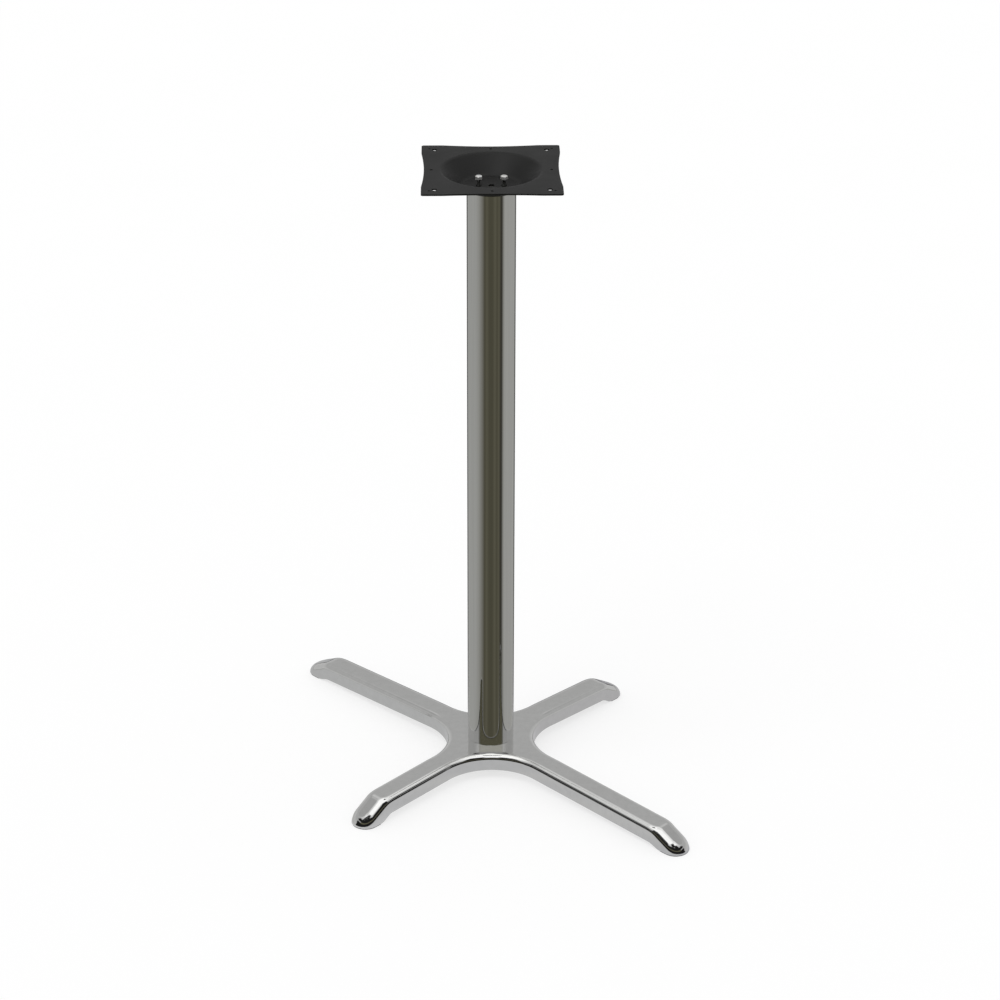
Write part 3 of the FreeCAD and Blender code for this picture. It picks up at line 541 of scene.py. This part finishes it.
def head_rows():
    """Rings of the head: a washer face, six flats and a chamfer towards the top."""
    rows = []
    for z, share in HEAD_RINGS:
        row = []
        for step in range(HEAD_SEGMENTS):
            angle = 2 * math.pi * step / HEAD_SEGMENTS
            from_flat = (angle + FLAT_TURN / 2) % FLAT_TURN - FLAT_TURN / 2
            radius = min(HALF_FLATS / math.cos(from_flat), HALF_FLATS * share)
            row.append(Vector((radius * math.cos(angle), radius * math.sin(angle), z)))
        rows.append(row)
    return rows


def bolt_skin(name):
    """Both bolts, each turned a little differently, as a hand leaves them."""
    points, faces = [], []
    for side, degrees in BOLT_TURNS:
        stand = Vector((side * BOLT_SPACING / 2, 0, SEAT))
        spin = Matrix.Rotation(math.radians(degrees), 3, "Z")
        for rows in (thread_rows(), head_rows()):
            columns = len(rows[0])
            start = len(points)
            for row in rows:
                points.extend((spin @ point + stand) * MM for point in row)
            faces.extend(strip_faces(len(rows), columns, start, closed=True))
            faces.append(tuple(range(start, start + columns)))
            faces.append(tuple(range(len(points) - columns, len(points))))
    return skin(name, points, faces, BOLT_SHARP)


bolts = bolt_skin("dish_bolts")
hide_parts("plate_bolts")

# %% [markdown]
# ## Finishes
#
# A finish is a small tree of nodes that starts from the place on the object itself, so it
# stays put when the piece or the camera moves. Every finish here follows the same plan: a
# base shader with its plain values set on its own sockets, a fine noise that changes the
# roughness a little, and a bump for the grain that the hand would feel. One helper sets up
# that plan, and each finish then gets what is particular to it.

# %% Helpers for finishes


class Finish:
    """A material with its base shader, and short calls for the nodes round it."""

    def __init__(self, name, **plain):
        self.material = bpy.data.materials.new(name)
        self.material.use_nodes = True
        self.tree = self.material.node_tree
        self.shader = self.tree.nodes["Principled BSDF"]
        for socket, number in plain.items():
            self.shader.inputs[socket.replace("_", " ")].default_value = number
        self.place = self.add("ShaderNodeTexCoord").outputs["Object"]

    def add(self, kind, links=None, numbers=None, **settings):
        """Adds a node, with its settings, its plain numbers and what feeds its sockets."""
        made = self.tree.nodes.new(kind)
        for setting, what in settings.items():
            setattr(made, setting, what)
        for socket, number in (numbers or {}).items():
            made.inputs[socket].default_value = number
        for socket, source in (links or {}).items():
            self.tree.links.new(source, made.inputs[socket])
        return made

    def stretched(self, scale):
        """The place on the object, stretched along each axis."""
        return self.add("ShaderNodeMapping", {"Vector": self.place}, {"Scale": scale}).outputs[0]

    def noise(self, scale, detail=3.0, place=None, roughness=0.5):
        """A cloudy pattern that is finer the larger the scale is."""
        return self.add("ShaderNodeTexNoise", {"Vector": place or self.place},
                        {"Scale": scale, "Detail": detail, "Roughness": roughness}).outputs["Fac"]

    def ramp(self, source, stops):
        """A colour ramp with stops of (position, colour)."""
        made = self.add("ShaderNodeValToRGB", {"Fac": source})
        elements = made.color_ramp.elements
        while len(elements) < len(stops):
            elements.new(0.5)
        for element, (position, colour) in zip(elements, stops):
            element.position = position
            element.color = (*colour, 1)
        return made.outputs["Color"]

    def spread(self, source, low, high, first=0.3, last=0.7):
        """A source's range from first to last, as a number from low to high."""
        numbers = {"From Min": first, "From Max": last, "To Min": low, "To Max": high}
        return self.add("ShaderNodeMapRange", {"Value": source}, numbers).outputs["Result"]

    def bump(self, source, distance, strength=1.0, under=None):
        """A relief of so many metres, on top of another one if there is one."""
        links = {"Height": source}
        if under:
            links["Normal"] = under
        numbers = {"Distance": distance, "Strength": strength}
        return self.add("ShaderNodeBump", links, numbers).outputs["Normal"]

    def feed(self, socket, source):
        """Leads a source into a socket of the shader."""
        self.tree.links.new(source, self.shader.inputs[socket])

    def dress(self, piece):
        """Gives a piece this finish."""
        piece.data.materials.append(self.material)
        print("%-22s on %-22s %2d nodes" % (self.material.name, piece.name, len(self.tree.nodes)))


def grey(level):
    """A colour with no tint."""
    return (level, level, level)


# %% [markdown]
# ## Chrome
#
# Chrome plate is a mirror, a little darker and cooler than silver. What tells it from a
# perfect mirror is the steel under it: the tube was drawn, so it has faint streaks along its
# length, and the stamped sheet has a soft ripple from the press. A trace of handling adds
# slightly duller patches.

# %% Mix the two chromes
CHROME_TINT = (0.76, 0.76, 0.75)
DULL_TINT = tuple(part * 0.94 for part in CHROME_TINT)


def chrome(name, streak_scale, ripple_scale, ripple):
    """A chrome over steel with streaks of one scale and a ripple of another."""
    finish = Finish(name, Metallic=1.0, IOR=2.6)
    streaks = finish.noise(1.0, detail=5.0, place=finish.stretched(streak_scale), roughness=0.6)
    patches = finish.noise(9.0, detail=2.0)
    finish.feed("Base Color", finish.ramp(streaks, [(0.3, DULL_TINT), (0.7, CHROME_TINT)]))
    mixed = finish.add("ShaderNodeMath", {0: streaks, 1: patches}, operation="MULTIPLY").outputs[0]
    finish.feed("Roughness", finish.spread(mixed, low=0.045, high=0.085, first=0.15, last=0.40))
    fine = finish.bump(streaks, 0.004 * MM, strength=0.5)
    wave = finish.noise(ripple_scale, detail=1.0)
    finish.feed("Normal", finish.bump(wave, ripple * MM, under=fine))
    return finish


chrome("drawn_tube_chrome", streak_scale=(260, 260, 3), ripple_scale=5.0, ripple=0.02).dress(tube)
chrome("pressed_sheet_chrome", streak_scale=(90, 90, 90), ripple_scale=14.0, ripple=0.03).dress(cross)

# %% [markdown]
# ## Black powder coat
#
# The plate is sprayed with powder and baked. The coat flows into a fine orange peel, thins
# a little over edges, and shines only softly. Two sizes of noise give the peel, and a slow
# one makes some areas slightly duller.

# %% Mix the powder coat
DEEP_BLACK = (0.007, 0.007, 0.0068)
DUSTY_BLACK = (0.011, 0.011, 0.0105)
coat = Finish("black_powder_coat", Metallic=0.0, IOR=1.5, Specular_IOR_Level=0.22)
peel = coat.noise(1500.0, detail=2.0)
pores = coat.noise(5200.0, detail=1.0)
cloud = coat.noise(22.0)
coat.feed("Base Color", coat.ramp(cloud, [(0.3, DEEP_BLACK), (0.7, DUSTY_BLACK)]))
coat.feed("Roughness", coat.spread(cloud, low=0.42, high=0.52))
peel_relief = coat.bump(peel, 0.016 * MM, strength=0.8)
coat.feed("Normal", coat.bump(pores, 0.004 * MM, strength=0.6, under=peel_relief))
coat.dress(plate)

# %% [markdown]
# ## Zinc plate
#
# Bolts, washers and the discs in the tube are bright zinc: paler and rougher than chrome,
# with fine scratches from the barrel they were plated in and a breath of yellow and blue.
# The bolts in the dish get painted shade on their threads. Below the head the zinc colour
# is painted dark for the shade that the dish casts on the shank, so only the heads shine,
# and the height on the bolt tells the one from the other.

# %% Mix the zinc
PLATED = [(0.3, (0.76, 0.75, 0.71)), (0.55, (0.82, 0.82, 0.81)), (0.75, (0.77, 0.80, 0.83))]
SCRATCHES = (900, 2600, 1400)


def zinc_plate(name, metallic, low, high):
    """A zinc plate with a roughness from low to high, and the noise that clouds it."""
    finish = Finish(name, Metallic=metallic)
    sheen = finish.noise(140.0, detail=4.0)
    finish.feed("Roughness", finish.spread(sheen, low, high))
    scratches = finish.noise(1.0, detail=4.0, place=finish.stretched(SCRATCHES), roughness=0.7)
    finish.feed("Normal", finish.bump(scratches, 0.006 * MM, strength=0.6))
    return finish, sheen


zinc, zinc_sheen = zinc_plate("bright_zinc", metallic=1.0, low=0.22, high=0.38)
zinc.feed("Base Color", zinc.ramp(zinc_sheen, PLATED))
print(zinc.material.name, "has", len(zinc.tree.nodes), "nodes")

# %% Paint shade on the threads
# painted shade: a dark zinc colour for the shank below the head, where the dish shades it
THREAD_SHADE = [(0.3, (0.03, 0.03, 0.03)), (0.7, (0.07, 0.07, 0.065))]
SHADE_FADES_FROM = (SEAT - 0.2) * MM
SHADE_GONE_ABOVE = (SEAT + 0.4) * MM
shaded_thread_zinc, bolt_zinc_sheen = zinc_plate("bolt_zinc_with_painted_shade", metallic=0.75, low=0.28, high=0.42)
bare = shaded_thread_zinc.ramp(bolt_zinc_sheen, PLATED)
painted_thread_shade = shaded_thread_zinc.ramp(bolt_zinc_sheen, THREAD_SHADE)
# the painted shade fades out over the seat, so the head keeps the plain zinc colour
up = shaded_thread_zinc.add("ShaderNodeSeparateXYZ", {"Vector": shaded_thread_zinc.place}).outputs["Z"]
on_head = shaded_thread_zinc.spread(up, low=0.0, high=1.0, first=SHADE_FADES_FROM, last=SHADE_GONE_ABOVE)
painted_shade_on_threads = shaded_thread_zinc.add("ShaderNodeMixRGB", {"Fac": on_head, "Color1": painted_thread_shade, "Color2": bare})
shaded_thread_zinc.feed("Base Color", painted_shade_on_threads.outputs[0])
shaded_thread_zinc.dress(bolts)

# %% [markdown]
# ## Moulded plastic
#
# The glides under the toes are black plastic from a mould. A spark-eroded mould leaves an
# even, fine texture, and the foot that slides on the floor is rubbed a little smoother.

# %% Mix the plastic
plastic = Finish("moulded_black_plastic", Metallic=0.0)
texture = plastic.noise(2400.0)
rubbed = plastic.noise(160.0)
plastic.feed("Base Color", plastic.ramp(rubbed, [(0.3, grey(0.020)), (0.7, grey(0.032))]))
plastic.feed("Roughness", plastic.spread(rubbed, low=0.42, high=0.60))
plastic.feed("Normal", plastic.bump(texture, 0.02 * MM, strength=0.7))
print(plastic.material.name, "has", len(plastic.tree.nodes), "nodes")

# %% [markdown]
# ## Dressing the solids that stay
#
# The hidden discs, washers, bolts and glides keep their solids as they are. They only need
# the right finish in their material slots.

# %% Give the remaining solids their finish
ZINC_SOLIDS = ("hub_plate", "bottom_plug", "top_plug", "base_bolts", "flat_washers", "lock_washers")
GLIDES = ("glide_front_right", "glide_back_right", "glide_back_left", "glide_front_left")
for finish, names in ((zinc, ZINC_SOLIDS), (plastic, GLIDES)):
    for name in names:
        slots = solids[name].material_slots
        if not slots:
            finish.dress(solids[name])
        for slot in slots:
            slot.material = finish.material
print("dressed solids:", ", ".join(ZINC_SOLIDS + GLIDES))

# %% [markdown]
# ## The stage: floor
#
# The object stands on a plain pale floor that fills the picture. Its colour, not a strong
# lamp, makes it white, so the soft shadow under the arms stays. Where the camera, a mirror
# or glass looks straight at it, part of it glows with a strength of 1, which is just white.

# %% Lay the floor
FLOOR_HALF = 40.0
FLOOR_DROP = 0.1 * MM
PAPER_GLOW = 0.68
SQUARE = ((-1, -1), (1, -1), (1, 1), (-1, 1))


def stage_piece(name, mesh):
    """Puts a mesh on the stage, where it isn't part of the object."""
    piece = bpy.data.objects.new(name, mesh)
    bpy.context.scene.collection.objects.link(piece)
    return piece


def card(name, corners):
    """A flat stage piece from its corners, in metres."""
    mesh = bpy.data.meshes.new(name)
    mesh.from_pydata([Vector(corner) for corner in corners], [], [tuple(range(len(corners)))])
    return stage_piece(name, mesh)


floor = card("floor", [(FLOOR_HALF * x, FLOOR_HALF * y, -FLOOR_DROP) for x, y in SQUARE])

# %% Make the floor white paper
paper = Finish("white_paper", Roughness=0.9, Specular_IOR_Level=0.0)
paper.feed("Base Color", paper.ramp(paper.noise(3.0), [(0.3, grey(0.965)), (0.7, grey(0.975))]))
path = paper.add("ShaderNodeLightPath").outputs
seen = path["Is Camera Ray"]
for way in ("Is Glossy Ray", "Is Transmission Ray"):
    seen = paper.add("ShaderNodeMath", {0: seen, 1: path[way]}, operation="MAXIMUM").outputs[0]
share = paper.add("ShaderNodeMath", {0: seen}, {1: PAPER_GLOW}, operation="MULTIPLY").outputs[0]
lit = paper.add("ShaderNodeEmission", numbers={"Color": (1, 1, 1, 1), "Strength": 1.0})
both = paper.add("ShaderNodeMixShader", {0: share, 1: paper.shader.outputs[0], 2: lit.outputs[0]})
paper.tree.links.new(both.outputs[0], paper.tree.nodes["Material Output"].inputs["Surface"])
paper.dress(floor)

# %% [markdown]
# ## The stage: what the chrome sees
#
# A mirror has no look of its own, so a photographer builds one from cards. The cards here
# give off light of their own, and only reflections see them. A card can also be kept for
# one piece, as when each piece is photographed with cards of its own. The helpers colour a
# card by its bearing round the column: 0 is straight to the front and 90 to the right.

# %% Helpers for cards


def reflected_only(piece, seen_by=None):
    """Hides a card from all but reflections, or from all but the reflections in one piece."""
    piece.visible_camera = False
    piece.visible_diffuse = False
    piece.visible_shadow = False
    piece.visible_transmission = False
    piece.visible_volume_scatter = False
    if seen_by:
        receivers = bpy.data.collections.new(piece.name + "_receivers")
        receivers.objects.link(seen_by)
        piece.light_linking.receiver_collection = receivers


class Glow(Finish):
    """A stage material that gives off light. A clear one lets what lies behind it through."""

    def __init__(self, name, clear=False):
        super().__init__(name)
        self.tree.nodes.remove(self.shader)
        self.shader = self.add("ShaderNodeEmission")
        surface = self.shader
        if clear:
            glass = self.add("ShaderNodeBsdfTransparent")
            surface = self.add("ShaderNodeAddShader",
                               {0: glass.outputs[0], 1: self.shader.outputs[0]})
        output = self.tree.nodes["Material Output"]
        self.tree.links.new(surface.outputs[0], output.inputs["Surface"])

    def calculate(self, operation, first, second):
        """A sum of one step with two things that are sources or plain numbers."""
        links, numbers = {}, {}
        for index, what in enumerate((first, second)):
            if isinstance(what, float):
                numbers[index] = what
            else:
                links[index] = what
        return self.add("ShaderNodeMath", links, numbers, operation=operation).outputs[0]

    def bearing(self):
        """Direction round the column, as a share of a turn: 0.5 is straight to the front."""
        parts = self.add("ShaderNodeSeparateXYZ", {"Vector": self.place}).outputs
        toward = self.calculate("MULTIPLY", parts["Y"], -1.0)
        angle = self.calculate("ARCTAN2", parts["X"], toward)
        return self.spread(angle, low=0.0, high=1.0, first=-math.pi, last=math.pi)

    def round_ramp(self, stops):
        """A colour ramp round the column, with stops of (bearing in degrees, colour)."""
        return self.ramp(self.bearing(), [(0.5 + degrees / 360.0, colour) for degrees, colour in stops])


# %% [markdown]
# ## The mat
#
# The upright tube looks down at the floor around it, the same way at every height. So a
# round mat with wedges like a cake turns into straight bands on the tube: grey at the
# sides, and a dark olive wedge in front for the dark band.

# %% The mat that gives the tube its bands
TENT_RADIUS = 9.0
MAT_RADIUS = TENT_RADIUS - 0.1
MAT_LIFT = 0.4 * MM
DISC_SEGMENTS = 64
OLIVE = (0.118, 0.112, 0.080)
DARK_OLIVE = (0.082, 0.078, 0.054)
DEEP_BROWN = (0.045, 0.043, 0.034)
SHADED = (0.175, 0.170, 0.148)
LEFT_GREY = (0.385, 0.388, 0.374)
LEFT_DIM = (0.325, 0.325, 0.305)
RIGHT_GREY = (0.395, 0.395, 0.380)
BEHIND = (0.10, 0.10, 0.095)
MAT_WEDGES = [
    (-152, BEHIND), (-140, LEFT_GREY), (-78, LEFT_GREY), (-60, LEFT_DIM), (-41, SHADED),
    (-32, DARK_OLIVE), (-21, OLIVE), (-10, DARK_OLIVE), (6, DARK_OLIVE), (17, OLIVE),
    (27, DARK_OLIVE), (36, OLIVE), (45, DEEP_BROWN), (50, DEEP_BROWN), (60, LEFT_DIM),
    (67, RIGHT_GREY), (136, RIGHT_GREY), (150, BEHIND),
]


def disc(name, radius, lift):
    """A round card that lies a little above the floor."""
    angles = [2 * math.pi * step / DISC_SEGMENTS for step in range(DISC_SEGMENTS)]
    return card(name, [(radius * math.cos(angle), radius * math.sin(angle), lift) for angle in angles])


mat = disc("reflection_mat", MAT_RADIUS, MAT_LIFT)
wedges = Glow("mat_with_dark_wedges")
wedges.feed("Color", wedges.round_ramp(MAT_WEDGES))
wedges.dress(mat)
reflected_only(mat)

# %% [markdown]
# ## The disc under the cross
#
# The side walls of the cross look down at the floor beside them, so the dark wedge of the
# mat would show in the front walls. A clear, glowing disc just above the mat, which only
# the cross sees, adds light to it: much in front, and a little at the back.

# %% The disc under the cross
GLOW_RADIUS = 0.62
GLOW_LIFT = 0.8 * MM
FRONT_GLOW = (0.475, 0.480, 0.515)
BACK_LEFT_GLOW = (0.148, 0.148, 0.167)
BACK_RIGHT_GLOW = (0.132, 0.128, 0.153)
BETWEEN_GLOW = grey(0.22)
under_glow = disc("glow_under_the_cross", GLOW_RADIUS, GLOW_LIFT)
under_light = Glow("light_under_the_cross", clear=True)
under_light.feed("Color", under_light.round_ramp([
    (-85, BACK_LEFT_GLOW), (-55, BETWEEN_GLOW), (-47, FRONT_GLOW), (55, FRONT_GLOW),
    (62, BETWEEN_GLOW), (90, BACK_RIGHT_GLOW),
]))
under_light.dress(under_glow)
reflected_only(under_glow, seen_by=cross)

# %% [markdown]
# ## The tent
#
# The tent is a half sphere seen from inside. Within a few millimetres the crown of the
# cross turns from the top to the wall, and so it mirrors the tent from behind the object,
# up over it and down to the front. Each band of the tent becomes a line along the crown:
# grey low down for the level tops, white overhead for the bright line, and black low down
# in front and at the sides for the thin dark line under it. The bands are laid over each
# other like paint, each within a range of bearings and a range of heights.

# %% Helpers for the tent
DOME_SEGMENTS = 64
DOME_RINGS = 48
JUST_BELOW = -0.01            # metres; lower points of the sphere are cut away


def half_sphere(name, radius):
    """A dome over the stage that stands on the floor."""
    bm = bmesh.new()
    bmesh.ops.create_uvsphere(bm, u_segments=DOME_SEGMENTS, v_segments=DOME_RINGS, radius=radius)
    below = [vert for vert in bm.verts if vert.co.z < JUST_BELOW]
    bmesh.ops.delete(bm, geom=below, context="VERTS")
    mesh = bpy.data.meshes.new(name)
    bm.to_mesh(mesh)
    bm.free()
    return stage_piece(name, mesh)


def rise_at(degrees):
    """The height on the tent that is seen so many degrees up, as a share of its radius."""
    return math.sin(math.radians(degrees))


def shares(stops):
    """Stops of (position, share) as the stops of a colour ramp."""
    return [(position, grey(share)) for position, share in stops]


def paint(glow, rise, under, colour, round_stops, rise_stops):
    """Lays a colour over part of the tent: where round the column, and how high."""
    where = glow.round_ramp(shares(round_stops))
    how_high = glow.ramp(rise, shares([(rise_at(up), share) for up, share in rise_stops]))
    mask = glow.calculate("MULTIPLY", where, how_high)
    return glow.add("ShaderNodeMixRGB", {"Fac": mask, "Color1": under},
                    {"Color2": (*colour, 1)}).outputs[0]


# %% The bands of the tent, by bearing and by degrees up
NIGHT = grey(0.012)
DUSK = (0.100, 0.095, 0.064)
TENT_STRENGTH = 1.25
SIDES = [(-90, 0), (-86, 1), (85, 1), (89, 0)]
WIDE_SIDES = [(-97, 0), (-93, 1), (92, 1), (96, 0)]
LOW_SIDES = [(-86, 0), (-83, 1), (80, 1), (84, 0)]
FRONT = [(-66, 0), (-52, 1), (55, 1), (66, 0)]
FRONT_CORNERS = [(-68, 0), (-60, 1), (-22, 1), (-14, 0), (14, 0), (22, 1), (60, 1), (68, 0)]
BACK_CORNERS = [(-148, 0), (-138, 1), (-112, 1), (-104, 0),
                (104, 0), (112, 1), (138, 1), (148, 0)]
BACK_RIGHT = [(96, 0), (108, 1), (158, 1), (170, 0)]
TENT_TONES = [(0, 0.50), (20, 0.42), (26, 0.375), (44, 0.39), (49, 0.54), (58, 0.62), (66, 1), (90, 1)]
TENT_BANDS = [
    ("faint line on the back arms", grey(0.34), BACK_CORNERS, [(43, 0), (47, 1), (51, 1), (53, 0)]),
    ("bright line on the front left arm", grey(0.80), BACK_RIGHT, [(52, 0), (55, 1)]),
    ("dark line, with a gap that the tube's foot needs", NIGHT, SIDES,
     [(18, 0), (20, 1), (28.2, 1), (29.2, 0), (32, 0), (32.8, 1), (36, 1), (40, 0)]),
    ("dark line, upper edge", NIGHT, WIDE_SIDES, [(32.5, 0), (34, 1), (43, 1), (47, 0)]),
    ("dark line, lower edge", NIGHT, LOW_SIDES, [(20, 1), (24, 0)]),
    ("dark line on the hub", NIGHT, FRONT, [(49, 1), (53, 0)]),
    ("dark toes", NIGHT, FRONT_CORNERS, [(39, 0), (43, 1), (62, 1), (66, 0)]),
    ("dark band in the tube's foot", DUSK, FRONT, [(23.5, 0), (25.5, 1), (31.5, 1), (33.5, 0)]),
]

# %% Raise the tent
tent = half_sphere("tent", TENT_RADIUS)
tent_glow = Glow("tent_glow")
tent_up = tent_glow.add("ShaderNodeSeparateXYZ", {"Vector": tent_glow.place}).outputs["Z"]
tent_rise = tent_glow.calculate("DIVIDE", tent_up, TENT_RADIUS)
tone = tent_glow.ramp(tent_rise, shares([(rise_at(up), level) for up, level in TENT_TONES]))
for what, colour, round_stops, rise_stops in TENT_BANDS:
    tone = paint(tent_glow, tent_rise, tone, colour, round_stops, rise_stops)
    print("tent band:", what)
tent_glow.feed("Color", tone)
tent_glow.shader.inputs["Strength"].default_value = TENT_STRENGTH
tent_glow.dress(tent)
reflected_only(tent)

# %% [markdown]
# ## A dome for the tube
#
# The level hub mirrors the foot of the tube, and in that image the tube mirrors the black
# front of the tent, which would leave a black patch on the hub. A clear dome inside the
# tent, which only the tube sees, lights that front for it and keeps the hub grey.

# %% The dome that only the tube sees
DOME_RADIUS = TENT_RADIUS - 0.5
TUBE_FILL = [(-92, 0.0), (-70, 0.15), (-52, 0.40), (55, 0.40), (70, 0.15), (92, 0.0)]
tube_dome = half_sphere("tube_dome", DOME_RADIUS)
tube_fill = Glow("tube_dome_glow", clear=True)
tube_fill.feed("Color", tube_fill.round_ramp(shares(TUBE_FILL)))
tube_fill.dress(tube_dome)
reflected_only(tube_dome, seen_by=tube)

# %% [markdown]
# ## Light
#
# A white world lights the object evenly from all sides, and one soft lamp from high on the
# left gives the shadow its direction. Together they light white paper to just white. Where
# the camera looks past the floor it sees the world at a strength of 1, which is white too.

# %% World and lamp
ROOM_LIGHT = 0.88
SUN_LIGHT = 0.50
SUN_SPREAD = math.radians(30)
SUN_TOWARD = Vector((0.35, 0.30, -1.0))

world = bpy.data.worlds.new("soft_room")
bpy.context.scene.world = world
world.use_nodes = True
background = world.node_tree.nodes["Background"]
background.inputs["Color"].default_value = (1, 1, 1, 1)
direct_view = world.node_tree.nodes.new("ShaderNodeLightPath").outputs["Is Camera Ray"]
brightness = world.node_tree.nodes.new("ShaderNodeMapRange")
brightness.inputs["To Min"].default_value = ROOM_LIGHT
brightness.inputs["To Max"].default_value = 1.0
world.node_tree.links.new(direct_view, brightness.inputs["Value"])
world.node_tree.links.new(brightness.outputs["Result"], background.inputs["Strength"])

lamp_data = bpy.data.lights.new("soft_sun", "SUN")
lamp_data.angle = SUN_SPREAD
lamp_data.energy = SUN_LIGHT
lamp = bpy.data.objects.new("soft_sun", lamp_data)
lamp.rotation_euler = SUN_TOWARD.to_track_quat("-Z", "Y").to_euler()
bpy.context.scene.collection.objects.link(lamp)

bpy.context.scene.view_settings.view_transform = "Standard"
print("room light", ROOM_LIGHT, "and sun", SUN_LIGHT)

# %% [markdown]
# ## Camera
#
# The camera stands well back and high, and looks down on the base with a long lens. Its
# place was worked out from the tube's width, the corners of the plate and the tips of the
# arms, and the numbers are the result.

# %% Set up the camera
PICTURE = 1000.0
FOCAL_PIXELS = 3136.0
SENSOR = 36.0
FAR_END = 200
STAND = Vector((0.0145, -4.515, 2.7155))
DOWN = math.radians(26.357)
ROLL = math.radians(-0.16)
ROUND = math.radians(-1.0)

camera_data = bpy.data.cameras.new("camera")
camera_data.sensor_width = SENSOR
camera_data.lens = FOCAL_PIXELS / PICTURE * SENSOR
camera_data.clip_end = FAR_END
camera = bpy.data.objects.new("camera", camera_data)
bpy.context.scene.collection.objects.link(camera)
forward = Vector((0, math.cos(DOWN), -math.sin(DOWN)))
right = Vector((1, 0, 0))
downward = Vector((0, -math.sin(DOWN), -math.cos(DOWN)))
rolled_right = right * math.cos(ROLL) + downward * math.sin(ROLL)
rolled_down = downward * math.cos(ROLL) - right * math.sin(ROLL)
facing = Matrix((rolled_right, -rolled_down, -forward)).transposed()
around = Matrix.Rotation(ROUND, 3, "Z")
stand = around @ STAND
camera.matrix_world = Matrix.Translation(stand) @ (around @ facing).to_4x4()
bpy.context.scene.camera = camera
print("lens %.1f mm, camera at" % camera_data.lens, tuple(round(part, 3) for part in stand))
